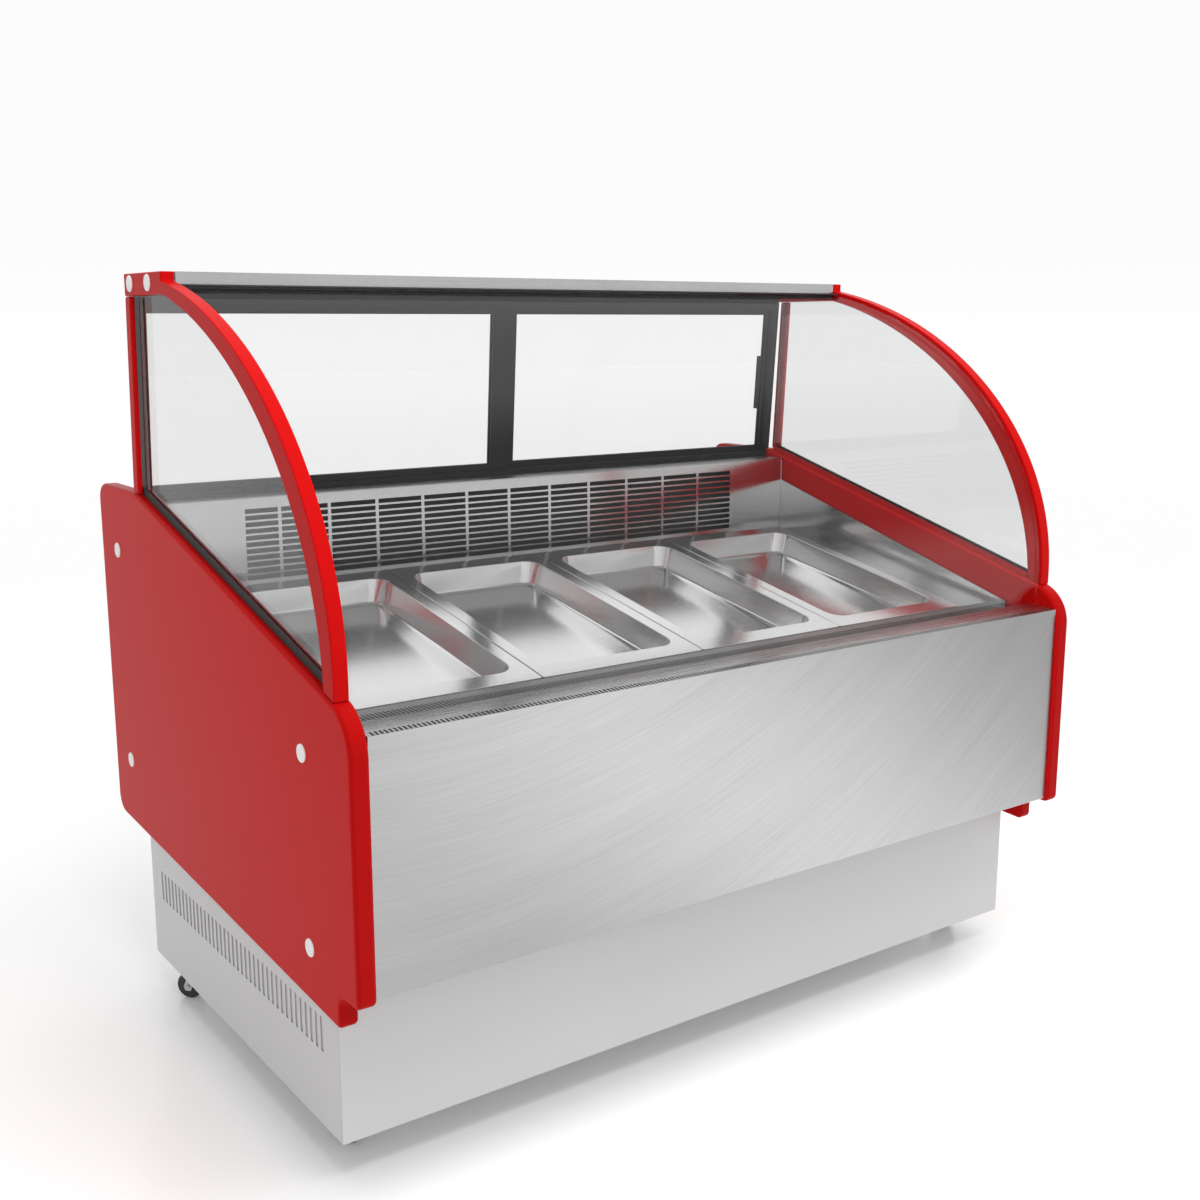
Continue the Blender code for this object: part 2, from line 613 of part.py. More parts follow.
def build_front_air_grille():
    slots = []
    count, pitch, width = 36, 0.0380, 0.0220
    for i in range(count):
        middle = (i - (count - 1) / 2) * pitch
        slots.append(rectangle(middle - width / 2, middle + width / 2, -0.4280, -0.3640))
    prism("front_air_grille",
          rectangle(-LINER_HALF + GAP, LINER_HALF - GAP, FLANGE_REAR + SHEET + GAP, -0.3350),
          "Z", AIR_STRIP_TOP - DECK_SHEET, AIR_STRIP_TOP, "brushed_steel", holes=slots)


def pan_matrix(index):
    """Where a pan's rim plane has its middle, and how it is tilted."""
    x = (index - (PAN_COUNT - 1) / 2) * PAN_PITCH
    y = PAN_FRONT_Y + PAN_LENGTH / 2 * cos(PAN_TILT)
    z = PAN_FRONT_Z + PAN_LENGTH / 2 * sin(PAN_TILT)
    return Matrix.Translation((x, y, z)) @ Matrix.Rotation(PAN_TILT, 4, "X")


def build_deck():
    """Sheet that carries the pans, with a raised edge along each side."""
    rear = PANEL_Y - GAP
    path = [(rear, deck_height(rear)), (DECK_FLAT_Y, deck_height(DECK_FLAT_Y)),
            (PAN_FRONT_Y - 0.0050, deck_height(PAN_FRONT_Y - 0.0050))]
    deck = prism("deck_frame", strip(path, DECK_SHEET), "X", -LINER_HALF - DECK_SHEET,
                 LINER_HALF + DECK_SHEET, "polished_steel")
    tools = []
    half_x, half_y = PAN_OPENING[0] / 2 + 0.005, PAN_OPENING[1] / 2 + 0.005
    for index in range(PAN_COUNT):
        outline = rectangle(-half_x, half_x, PAN_OPENING_SHIFT - half_y,
                            PAN_OPENING_SHIFT + half_y, 0.035)
        opening = prism("deck_opening", outline, "Z", -0.040, 0.020)
        opening.matrix_world = pan_matrix(index)
        tools.append(opening)
    cut(deck, *tools)

    lip_front, lip_rear = (-0.3910, 0.7333), (rear, 0.9137)
    upright = [(lip_front[0], AIR_STRIP_TOP), (PAN_FRONT_Y - 0.0045, AIR_STRIP_TOP),
               (PAN_FRONT_Y - 0.0045, deck_height(PAN_FRONT_Y) - 0.0015),
               (DECK_FLAT_Y, deck_height(DECK_FLAT_Y) - 0.0010),
               (rear, deck_height(rear) - 0.0010), lip_rear, lip_front]
    lip = strip([lip_rear, lip_front], DECK_SHEET)
    edges = []
    for side in (-1, 1):
        edges.append(prism("deck_upright", upright, "X", side * LINER_HALF,
                           side * (LINER_HALF + DECK_SHEET)))
        edges.append(prism("deck_lip", lip, "X", side * (LINER_HALF + 0.0002),
                           side * (SIDE_INNER - 0.0006)))
    join(deck, *edges)


def build_rear_interior():
    height = GRILLE_TOP - GRILLE_LOW
    row_pitch = height / GRILLE_ROWS
    slot_height = row_pitch * 0.70
    slots = []
    right = GRILLE_RIGHT
    while right > GRILLE_LEFT + GRILLE_WEB:
        left = max(right - GRILLE_PITCH + GRILLE_WEB, GRILLE_LEFT)
        for row in range(GRILLE_ROWS):
            top = GRILLE_TOP - row * row_pitch
            slots.append(rectangle(left, right, top - slot_height, top))
        right -= GRILLE_PITCH
    prism("rear_interior_panel",
          rectangle(-LINER_HALF + GAP, LINER_HALF - GAP, PANEL_LOW, PANEL_TOP), "Y",
          PANEL_Y, PANEL_Y + SHEET, "polished_steel", holes=slots)

    seat = WORKTOP_Z - WORKTOP_DROP
    path = [(WORKTOP_REAR, 0.9300), (WORKTOP_REAR, WORKTOP_Z), (WORKTOP_CLEAR, WORKTOP_Z),
            (WORKTOP_CLEAR - WORKTOP_DROP, seat), (PANEL_Y, seat)]
    prism("rear_worktop", strip(path, DECK_SHEET), "X", -0.7165, 0.7165, "brushed_steel")


# ------------------------------------------------------------------ pans
def build_pans():
    wall = 0.0010
    half_x, half_y = PAN_WIDTH / 2, PAN_LENGTH / 2
    open_x, open_y = PAN_OPENING[0] / 2, PAN_OPENING[1] / 2
    for index in range(PAN_COUNT):
        pan = prism("pan_" + str(index + 1),
                    rectangle(-half_x, half_x, -half_y, half_y, 0.010, 3), "Z",
                    -PAN_LIP + GAP, 0.0, "polished_steel")
        under_rim = prism("pan_under_rim", rectangle(-half_x + wall, half_x - wall,
                                                     -half_y + wall, half_y - wall, 0.009, 3),
                          "Z", -0.050, -wall)
        body = prism("pan_body", rectangle(-open_x - wall, open_x + wall,
                                           PAN_OPENING_SHIFT - open_y - wall,
                                           PAN_OPENING_SHIFT + open_y + wall, 0.031, 6), "Z",
                     -PAN_DEPTH, -wall / 2)
        hollow = prism("pan_hollow", rectangle(-open_x, open_x, PAN_OPENING_SHIFT - open_y,
                                               PAN_OPENING_SHIFT + open_y, 0.030, 6), "Z",
                       -PAN_DEPTH + wall, 0.050)
        cut(pan, under_rim)
        join(pan, body)
        cut(pan, hollow)
        for piece in (pan, under_rim, body, hollow):
            piece.matrix_world = pan_matrix(index)


# ------------------------------------------------------------------ canopy: arcs, glass, shelf
def build_arc_frames():
    outer = ellipse_points(ARC_OUT, BRACKET_FRONT, 28)
    foot_in = ARC_IN[0] - ARC_IN[2]
    inner = ellipse_points(ARC_IN, BRACKET_FRONT + 0.0040, 28, first_z=side_top(foot_in) + 0.004)
    foot_out = outer[0][0]
    outline = [(foot_out, side_top(foot_out) + GAP), *outer, (BRACKET_FRONT, BRACKET_TOP),
               (BRACKET_REAR, BRACKET_TOP), (BRACKET_REAR, BRACKET_LOW), *inner[::-1],
               (foot_in, side_top(foot_in) + GAP)]
    for name, side in (("left_arc_frame", -1), ("right_arc_frame", 1)):
        prism(name, outline, "X", side * FRAME_IN, side * FRAME_OUT, "red_paint", bevel=0.0015)

    foot, head = 0.2849, 0.2654
    depth, rest = 0.0340, GAP + 0.0001
    post = [(foot, side_top(foot) + rest), (KNEE_Y, SIDE_TOP + rest),
            (foot + depth, SIDE_TOP + rest), (head + depth, BRACKET_LOW - GAP),
            (head, BRACKET_LOW - GAP)]
    for name, side in (("left_rear_post", -1), ("right_rear_post", 1)):
        prism(name, post, "X", side * 0.7380, side * FRAME_OUT, "red_paint", bevel=0.0012)


def build_side_glass():
    lift, low_rear, high_rear = 0.0032, 0.3000, 0.2810
    foot = ARC_IN[0] - ARC_IN[2] + GAP
    inner = ellipse_points(ARC_IN, BRACKET_FRONT + 0.0040, 28, GAP, side_top(foot) + 2 * lift)
    outline = [(inner[0][0], side_top(inner[0][0]) + lift), *inner,
               (high_rear, BRACKET_LOW - GAP), (low_rear, side_top(low_rear) + lift)]
    seal_front, seal_rear = inner[0][0] + GAP, 0.2985
    tall, low = 0.0132, 0.0028

    def band(height):
        return [(seal_front, side_top(seal_front) + GAP), (seal_rear, side_top(seal_rear) + GAP),
                (seal_rear, side_top(seal_rear) + height),
                (seal_front, side_top(seal_front) + height)]

    for word, side in (("left", -1), ("right", 1)):
        prism(word + "_side_glass", outline, "X", side * 0.7280, side * 0.7340, "clear_glass")
        seal = prism(word + "_glass_seal", band(tall), "X", side * 0.7343, side * 0.7376,
                     "rubber")
        join(seal, prism("seal_foot", band(low), "X", side * 0.7260, side * 0.7350))


def front_glass_edges():
    """The glass's outer and inner edges, seen from the side, and its slope at the top."""
    centre_y, centre_z, half_y, half_z = FRONT_GLASS_CURVE
    outer = ellipse_points(FRONT_GLASS_CURVE, GLASS_TOP_Y, 30)
    inner = []
    for y, z in outer:
        normal = Vector(((y - centre_y) / half_y ** 2, (z - centre_z) / half_z ** 2))
        inner.append(tuple(Vector((y, z)) - normal.normalized() * GLASS))
    top = Vector(((GLASS_TOP_Y - centre_y) / half_y ** 2, (outer[-1][1] - centre_z) / half_z ** 2))
    return outer, inner, top.normalized()


def build_front_glass():
    outer, inner, normal = front_glass_edges()
    foot = FACE_TOP + GAP
    outline = [(outer[0][0], foot), *outer, *inner[::-1], (inner[0][0], foot)]
    glass = prism("front_glass", outline, "X", -FRONT_GLASS_HALF, FRONT_GLASS_HALF,
                  "clear_glass")

    along = Vector((-normal.y, normal.x))        # from the hinge towards the glass
    edge = (Vector(outer[-1]) + Vector(inner[-1])) / 2
    hinge = edge - along * HINGE_REACH
    bead, neck, leg, web, reach = 0.0020, 0.0007, 0.0045, 0.0013, 0.0175
    start = HINGE_REACH - web - 0.0003
    grip = GLASS / 2 + 0.0003
    local = [*arc_points((0, 0), bead, 20, 340, 16), (start, -neck), (start, -leg),
             (reach, -leg), (reach, -grip), (start + web, -grip), (start + web, grip),
             (reach, grip), (reach, leg), (start, leg), (start, neck)]
    outline = [tuple(hinge + along * s + normal * n) for s, n in local]
    clamp = prism("glass_clamp_profile", outline, "X", -FRONT_GLASS_HALF, FRONT_GLASS_HALF,
                  "black_profile")
    for obj in (glass, clamp):
        set_pivot(obj, (0.0, hinge.x, hinge.y))

    socket, wall = bead + 0.0005, 0.0012
    ring = (arc_points(hinge, socket + wall, -150, 110, 20)
            + arc_points(hinge, socket, 110, -150, 20))
    profile = prism("glass_hinge_profile", ring, "X", -HINGE_HALF, HINGE_HALF, "black_profile")
    join(profile, box("hinge_flange",
                      (-HINGE_HALF, hinge.x + socket + 0.0004, hinge.y - 0.0010),
                      (HINGE_HALF, hinge.x + 0.0200, SHELF_LOW - GAP)))


def build_shelf():
    path = [(BRACKET_REAR, SHELF_LOW), (BRACKET_REAR, BRACKET_TOP),
            (BRACKET_FRONT, BRACKET_TOP), (BRACKET_FRONT, SHELF_LOW)]
    prism("top_shelf", strip(path, SHEET), "X", -SHELF_HALF, SHELF_HALF, "brushed_steel")
    box("led_light", (-0.600, 0.190, SHELF_LOW + 0.0060), (0.600, 0.215, BRACKET_TOP - 0.0020),
        "light_plastic", 0.0015)


# ------------------------------------------------------------------ sliding rear doors
def build_doors():
    shoulder_low, shoulder_top = SIDE_TOP + 0.0010, BRACKET_LOW - 0.0010
    narrow_low, narrow_top = SIDE_INNER - 0.0006, FRAME_IN - 0.0010
    outline = [(narrow_low, DOOR_FOOT), (narrow_low, shoulder_low), (DOOR_HALF, shoulder_low),
               (DOOR_HALF, shoulder_top), (narrow_top, shoulder_top), (narrow_top, DOOR_HEAD)]
    outline += [(-x, z) for x, z in outline[::-1]]
    hole = rectangle(-DOOR_SIDE + 0.0008, DOOR_SIDE - 0.0008, SILL, HEADER)
    rear = DOOR_Y + DOOR_DEPTH
    frame = prism("door_track_frame", outline, "Y", DOOR_Y, rear, "black_profile",
                  holes=[hole])
    rib_front, rib_rear = TRACKS[0] + LEAF + 0.0006, TRACKS[1] - 0.0006
    ribs = [box("track_rib", (-DOOR_SIDE, rib_front, low), (DOOR_SIDE, rib_rear, high))
            for low, high in ((SILL - 0.001, SILL + 0.005), (HEADER - 0.005, HEADER + 0.001))]
    for piece in (frame, *ribs):
        lean_forward(piece)
    join(frame, *ribs)

    leaf_low, leaf_top = SILL + 0.0005, HEADER - 0.0005
    leaf_side = DOOR_SIDE - 0.0013
    spans = {"left": (-leaf_side, MEETING_LEFT, TRACKS[0]),
             "right": (MEETING_RIGHT, leaf_side, TRACKS[1])}
    for word, (x0, x1, front) in spans.items():
        open0, open1 = ((-OPENING_HALF, x1 - STILE) if word == "left"
                        else (x0 + STILE, OPENING_HALF))
        leaf = prism(word + "_door_frame", rectangle(x0, x1, leaf_low, leaf_top), "Y",
                     front, front + LEAF, "black_profile",
                     holes=[rectangle(open0, open1, DOOR_Z, OPENING_TOP)])
        grip_x = (x0, x0 + 0.0060) if word == "left" else (x1 - 0.0060, x1)
        grip_depth = 0.0022 if word == "left" else 0.0120
        grip = box("door_grip", (grip_x[0], front + LEAF - 0.001, 1.070),
                   (grip_x[1], front + LEAF + grip_depth, 1.190))
        middle, inset, half = front + LEAF / 2, 0.0030, 0.0025
        groove = box("glass_groove",
                     (open0 - inset - GAP, middle - half - GAP, DOOR_Z - inset - GAP),
                     (open1 + inset + GAP, middle + half + GAP, OPENING_TOP + inset + GAP))
        pane = box(word + "_door_glass", (open0 - inset, middle - half, DOOR_Z - inset),
                   (open1 + inset, middle + half, OPENING_TOP + inset), "clear_glass")
        for piece in (leaf, grip, groove, pane):
            lean_forward(piece)
        join(leaf, grip)
        cut(leaf, groove)


# ------------------------------------------------------------------ build
build_base_frame()
build_base_panels()
build_castors()
build_cooling_unit()
build_tank()
build_evaporator()
build_controls()
build_side_panels()
build_front_panel()
build_front_air_grille()
build_deck()
build_rear_interior()
build_pans()
build_arc_frames()
build_side_glass()
build_front_glass()
build_shelf()
build_doors()

for piece in bpy.context.scene.objects:
    piece.location.z -= FLOOR
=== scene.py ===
"""Looks of the refrigerated ice cream counter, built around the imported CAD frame."""
from math import acos, asin, cos, pi, radians, sin, tan

import bmesh
import bpy
from mathutils import Matrix, Vector


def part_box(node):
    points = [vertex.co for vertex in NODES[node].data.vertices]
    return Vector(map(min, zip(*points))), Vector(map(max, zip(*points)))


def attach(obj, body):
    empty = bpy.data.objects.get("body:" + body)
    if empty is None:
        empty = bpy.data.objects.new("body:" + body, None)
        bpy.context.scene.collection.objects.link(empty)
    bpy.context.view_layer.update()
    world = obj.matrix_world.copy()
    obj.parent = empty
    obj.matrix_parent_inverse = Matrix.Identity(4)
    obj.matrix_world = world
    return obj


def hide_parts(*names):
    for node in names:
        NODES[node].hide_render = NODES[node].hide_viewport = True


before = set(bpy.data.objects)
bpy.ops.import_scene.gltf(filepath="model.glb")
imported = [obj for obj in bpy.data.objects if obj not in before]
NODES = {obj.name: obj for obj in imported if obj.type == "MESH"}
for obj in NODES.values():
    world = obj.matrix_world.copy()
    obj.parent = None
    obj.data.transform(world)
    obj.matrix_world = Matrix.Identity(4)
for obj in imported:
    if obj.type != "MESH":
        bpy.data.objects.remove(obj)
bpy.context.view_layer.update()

# ------------------------------------------------------------------ sizes, in metres
CABINET = "cabinet"
GLASS_BODY = "glass_lid"
SIDES = (("left", -1), ("right", 1))         # word in the nodes' names, sign of X
ARC_OUT = (0.2961, 0.7735, 0.7579, 0.5485)   # ellipse: centre Y, centre Z, half axes
ARC_IN = (0.3411, 0.7422, 0.7701, 0.5680)
GLASS_CURVE = (0.2961, 0.7735, 0.7549, 0.5437)
GLASS_TOP_Y = 0.1086
GLASS_THICKNESS = 0.006
ARC_STEPS, GLASS_STEPS = 72, 80
ARC_FOOT = 0.004                             # inner curve starts this far above the side panel
KNEE_Y, TOP_SLOPE = 0.3076, 0.2676           # side panels' top edge falls from the knee forwards
STEP_Y, STEP_Z = -0.450, 0.3269              # notch in the side panels' lower front corner
SIDE_LOW, SIDE_RISE = 0.2753, 0.0552         # side panels' lower edge at the step, and its slope
BRACKET_LOW, BRACKET_NOTCH = 1.2855, 0.0040  # underside, and the curve's end behind its nose
POST_LEAN, POST_DEPTH = 0.0195, 0.0260
PANEL_ROUND, ARC_ROUND, POST_ROUND = 0.0065, 0.0022, 0.0038
ABOVE_PANEL = 0.0005                         # gap under the posts and the glass lips
LIP_HEIGHT, LIP_END = 0.0105, 0.0010
LIP_NEAR, LIP_FAR = 0.0001, 0.0010           # its faces, inboard of the seal
SLOTTED = 0.0004                             # sheet of the slotted strips
SHADE_SHEET_LOW, SHADE_SHEET_TOP = 0.0012, 0.0001    # faces of the black sheet below the slotted sheet: painted shade seen through the slots
SLOT_MARGIN = 0.006                          # plain sheet beside a strip's slots
SLOPE_DEPTH, SLOPE_TILT = 0.0155, radians(6) # slotted slope along the front panel's top edge
SLOPE_SLOTS, AIR_SLOTS = 198, 205
SLOPE_OPEN, AIR_OPEN = 0.50, 0.52            # share of the pitch that a slot takes
FLANGE_BACK, FLANGE_FOLD = -0.4340, 0.0165   # Y of the flange's rear edge, and its fold down
AIR_RAISE = 0.0035                           # air strip above its place in the CAD
AIR_SLOTS_BACK, AIR_SHADE_SHEET_BACK = -0.3600, -0.3570      # Y where slots and the black shade sheet end
PAN_TILT = radians(10.54)
PAN_SIZE = (0.325, 0.530)
PAN_OPENING = (0.273, 0.457)
PAN_SHIFT = 0.0035                           # opening's middle behind the pan's
PAN_DEPTH = 0.045
PAN_LIP = 0.0076
PAN_CORNER, PAN_INNER_CORNER, PAN_FLOOR_CORNER = 0.0060, 0.030, 0.020
PAN_SHEET = 0.0008
PAN_FRONT = (-0.3277, 0.6953)                # Y and Z of the rims' front edge
PAN_PITCH = 0.3267
LOUVRES, LOUVRE_PITCH, LOUVRE_WIDTH = 39, 0.01815, 0.0085
LOUVRE_LOW, LOUVRE_TOP, LOUVRE_MIDDLE = 0.1875, 0.2430, 0.0095
VANE_NEAR, VANE_FAR = 0.0013, 0.0070         # depths of the vanes' edges behind the skin
VANE_OVER = 0.002                            # their reach past the slots' ends
# black duct lining behind the rear air slots, partly painted shade for the dim duct
SHADE_LINING_LOW, SHADE_LINING_HIGH, SHADE_LINING_INSET, SHADE_LINING_CORNER = 0.780, 0.925, 0.05, 0.004
SHADE_LINING_NEAR, SHADE_LINING_FAR = 0.030, 0.032       # its faces, behind the panel
# bolt caps: Y and Z on a side panel and on a bracket
CAP_PLACES = ((0.418, 0.8403), (0.418, 0.4473), (-0.357, 0.6553), (-0.359, 0.3663))
BRACKET_CAPS = ((0.269, 1.3053), (0.181, 1.3053))
CAP_RADIUS, CAP_RIM, CAP_SINK = 0.0135, 0.0006, 0.0002


# ------------------------------------------------------------------ camera, light and floor
def make_camera():
    data = bpy.data.cameras.new("camera")
    data.sensor_width = 36.0
    data.lens = 42.75
    camera = bpy.data.objects.new("camera", data)
    camera.location = (-1.5235, -2.1458, 1.2470)
    camera.rotation_euler = (radians(90.0 - 11.13), 0.0, -radians(35.69))
    bpy.context.scene.collection.objects.link(camera)
    bpy.context.scene.camera = camera


def area_light(name, place, target, size, power):
    """A lamp that lights the room but leaves no glint of itself on glass or steel."""
    data = bpy.data.lights.new(name, "AREA")
    data.shape = "RECTANGLE"
    data.size, data.size_y = size
    data.energy = power
    light = bpy.data.objects.new(name, data)
    light.location = place
    aim = Vector(target) - Vector(place)
    light.rotation_euler = aim.to_track_quat("-Z", "Y").to_euler()
    light.visible_glossy = False
    bpy.context.scene.collection.objects.link(light)


def make_world():
    """White surroundings: one level seen, one that lights, one that glass and steel mirror."""
    world = bpy.data.worlds.new("studio")
    bpy.context.scene.world = world
    world.use_nodes = True
    nodes, links = world.node_tree.nodes, world.node_tree.links
    nodes.clear()
    place = nodes.new("ShaderNodeTexCoord")
    split = nodes.new("ShaderNodeSeparateXYZ")
    links.new(place.outputs["Generated"], split.inputs[0])

    def graded(value, from_low, from_high, to_low, to_high):
        """A smooth step between two levels, each a number or another node's output."""
        span = nodes.new("ShaderNodeMapRange")
        span.interpolation_type = "SMOOTHSTEP"
        for key, number in (("From Min", from_low), ("From Max", from_high),
                            ("To Min", to_low), ("To Max", to_high)):
            if isinstance(number, bpy.types.NodeSocket):
                links.new(number, span.inputs[key])
            else:
                span.inputs[key].default_value = number
        links.new(value, span.inputs["Value"])
        return span.outputs["Result"]

    def background(strength):
        shader = nodes.new("ShaderNodeBackground")
        shader.inputs["Color"].default_value = (1, 1, 1, 1)
        links.new(strength, shader.inputs["Strength"])
        return shader.outputs[0]

    def either(choice, otherwise, chosen):
        mix = nodes.new("ShaderNodeMixShader")
        for socket, source in zip(mix.inputs, (choice, otherwise, chosen)):
            links.new(source, socket)
        return mix.outputs[0]

    ray = nodes.new("ShaderNodeLightPath")
    front = graded(split.outputs["Z"], 0.02, 0.35, 0.85, 0.28)
    mirrored = background(graded(split.outputs["Y"], -0.25, 0.25, front, 1.0))
    lit = background(graded(split.outputs["X"], -0.9, 0.3, 0.50, 1.04))
    seen = background(graded(split.outputs["Z"], -0.03, 0.07, 1.0, 0.965))
    unseen = either(ray.outputs["Is Glossy Ray"], lit, mirrored)
    output = nodes.new("ShaderNodeOutputWorld")
    links.new(either(ray.outputs["Is Camera Ray"], unseen, seen), output.inputs["Surface"])


def make_floor():
    bm = bmesh.new()
    bmesh.ops.create_grid(bm, x_segments=1, y_segments=1, size=30.0)
    mesh = finished_mesh(bm, "studio_floor")
    floor = bpy.data.objects.new("studio_floor", mesh)
    bpy.context.scene.collection.objects.link(floor)
    material, shader = new_material("floor_white")
    shader.inputs["Base Color"].default_value = (0.88, 0.88, 0.88, 1.0)
    shader.inputs["Roughness"].default_value = 0.22
    shader.inputs["Specular IOR Level"].default_value = 0.5
    shader.inputs["Emission Color"].default_value = (1.0, 1.0, 1.0, 1.0)
    shader.inputs["Emission Strength"].default_value = 0.12
    mesh.materials.append(material)


# ------------------------------------------------------------------ materials
def new_material(name):
    material = bpy.data.materials.new(name)
    material.use_nodes = True
    return material, material.node_tree.nodes["Principled BSDF"]


class Graph:
    """Small helper for building a material's node graph."""

    def __init__(self, name, roughness, metallic=0.0):
        self.material, self.shader = new_material(name)
        self.nodes = self.material.node_tree.nodes
        self.links = self.material.node_tree.links
        self.shader.inputs["Roughness"].default_value = roughness
        self.shader.inputs["Metallic"].default_value = metallic
        self.place = self.nodes.new("ShaderNodeTexCoord").outputs["Object"]

    def link(self, source, target):
        self.links.new(source, target)

    def stretched(self, scale, source=None):
        mapping = self.nodes.new("ShaderNodeMapping")
        mapping.inputs["Scale"].default_value = scale
        self.link(source or self.place, mapping.inputs["Vector"])
        return mapping.outputs["Vector"]

    def noise(self, vector, detail, roughness=0.6):
        noise = self.nodes.new("ShaderNodeTexNoise")
        noise.inputs["Scale"].default_value = 1.0
        noise.inputs["Detail"].default_value = detail
        noise.inputs["Roughness"].default_value = roughness
        self.link(vector, noise.inputs["Vector"])
        return noise.outputs["Fac"]

    def ramp(self, value, low, high, low_colour, high_colour):
        ramp = self.nodes.new("ShaderNodeValToRGB")
        stops = ramp.color_ramp.elements
        stops[0].position, stops[0].color = low, (*low_colour, 1.0)
        stops[1].position, stops[1].color = high, (*high_colour, 1.0)
        self.link(value, ramp.inputs["Fac"])
        return ramp.outputs["Color"]

    def span(self, value, to_low, to_high, from_low=0.25, from_high=0.75):
        """Map a value onto two levels; the usual range is where a noise mostly lies."""
        span = self.nodes.new("ShaderNodeMapRange")
        span.inputs["From Min"].default_value = from_low
        span.inputs["From Max"].default_value = from_high
        span.inputs["To Min"].default_value = to_low
        span.inputs["To Max"].default_value = to_high
        self.link(value, span.inputs["Value"])
        return span.outputs["Result"]

    def bump(self, height, strength, distance):
        bump = self.nodes.new("ShaderNodeBump")
        bump.inputs["Strength"].default_value = strength
        bump.inputs["Distance"].default_value = distance
        self.link(height, bump.inputs["Height"])
        self.link(bump.outputs["Normal"], self.shader.inputs["Normal"])

    def smooth(self, value, from_low, from_high, to_low, to_high):
        """A smooth step between two levels."""
        result = self.span(value, to_low, to_high, from_low, from_high)
        result.node.interpolation_type = "SMOOTHSTEP"
        return result

    def math(self, operation, *terms):
        """One arithmetic node; each term is a number or another node's output."""
        node = self.nodes.new("ShaderNodeMath")
        node.operation = operation
        for socket, term in zip(node.inputs, terms):
            if isinstance(term, bpy.types.NodeSocket):
                self.link(term, socket)
            else:
                socket.default_value = term
        return node.outputs[0]

    def times(self, a, b):
        return self.math("MULTIPLY", a, b)

    def add(self, a, b, share):
        """a + share * b, for two grey values."""
        return self.math("MULTIPLY_ADD", b, share, a)

    def parts(self, vector):
        split = self.nodes.new("ShaderNodeSeparateXYZ")
        self.link(vector, split.inputs[0])
        return split.outputs

    def orange_peel(self, low, high, strength):
        """Fine unevenness of a sprayed coat, in its gloss and its relief."""
        peel = self.noise(self.stretched((900.0, 900.0, 900.0)), 2.0)
        self.link(self.span(peel, low, high), self.shader.inputs["Roughness"])
        self.bump(peel, strength, 0.0002)


def red_paint(name, edge, side):
    """Satin powder coat with a very fine orange peel; painted light: faces turned along X take the
    side red, other faces the edge red.
    """
    g = Graph(name, 0.34)
    # painted light: the red follows the surface normal, giving lit and shaded copies of one paint
    normal_x_for_painted_light = g.parts(g.place.node.outputs["Normal"])["X"]
    facing = g.times(normal_x_for_painted_light, normal_x_for_painted_light)
    cloud = g.noise(g.stretched((3.0, 3.0, 3.0)), 3.0)
    g.link(g.ramp(g.add(facing, cloud, 0.12), 0.45, 1.0, (edge, 0.003, 0.003),
                  (side, 0.004, 0.004)), g.shader.inputs["Base Color"])
    g.shader.inputs["Specular IOR Level"].default_value = 0.045
    g.orange_peel(0.30, 0.38, 0.06)
    return g.material


def white_paint():
    g = Graph("pale_grey_powder_coat", 0.38)
    cloud = g.noise(g.stretched((2.0, 2.0, 2.0)), 3.0)
    g.link(g.ramp(cloud, 0.3, 0.7, (0.61, 0.61, 0.61), (0.63, 0.63, 0.63)),
           g.shader.inputs["Base Color"])
    g.orange_peel(0.34, 0.42, 0.05)
    return g.material


def swept_steel():
    """Front panel: brushed in wide arcs round a point above its left end, under a broad painted
    sheen that grows lighter towards its top.
    """
    g = Graph("swept_brushed_steel", 0.30, 1.0)
    centre = g.nodes.new("ShaderNodeVectorMath")
    centre.operation = "SUBTRACT"
    centre.inputs[0].default_value = (-0.66, 0.0, 2.05)
    g.link(g.place, centre.inputs[1])
    away = g.parts(centre.outputs[0])
    length = g.nodes.new("ShaderNodeVectorMath")
    length.operation = "LENGTH"
    g.link(centre.outputs[0], length.inputs[0])
    polar = g.nodes.new("ShaderNodeCombineXYZ")
    g.link(length.outputs["Value"], polar.inputs[0])
    g.link(g.math("ARCTAN2", away["X"], away["Z"]), polar.inputs[1])
    broad = g.noise(g.stretched((16.0, 2.0, 1.0), polar.outputs[0]), 2.0, 0.5)
    fine = g.noise(g.stretched((240.0, 7.0, 1.0), polar.outputs[0]), 5.0, 0.65)
    streaks = g.span(g.add(fine, broad, 0.45), 0.91, 1.09, 0.50, 0.95)
    here = g.parts(g.place)
    across = g.add(here["X"], here["Z"], 1.3)
    # painted reflection: a broad diagonal band of lighter colour across the panel
    sheen = g.times(g.smooth(across, -0.10, 0.58, 0.39, 0.55),
                    g.smooth(across, 0.62, 1.60, 1.0, 0.60))
    # painted light: the colour grows lighter towards the panel's top edge
    sheen = g.times(sheen, g.smooth(here["Z"], 0.33, 0.70, 1.04, 1.17))
    g.link(g.times(sheen, streaks), g.shader.inputs["Base Color"])
    g.link(g.span(fine, 0.26, 0.40), g.shader.inputs["Roughness"])
    g.bump(fine, 0.05, 0.0004)
    return g.material


def steel(name, base, roughness, grain, contrast, bump=0.04):
    """Stainless steel with straight grain; the largest grain scale runs across the lines."""
    g = Graph(name, roughness, 1.0)
    lines = g.noise(g.stretched(grain), 4.0, 0.65)
    cloud = g.noise(g.stretched((5.0, 5.0, 5.0)), 2.0)
    both = g.add(lines, cloud, 0.5)
    low, high = base * (1 - contrast), base * (1 + contrast)
    g.link(g.ramp(both, 0.45, 1.05, (low,) * 3, (high,) * 3), g.shader.inputs["Base Color"])
    g.link(g.span(lines, roughness * 0.75, roughness * 1.3), g.shader.inputs["Roughness"])
    g.bump(lines, bump, 0.0003)
    return g.material


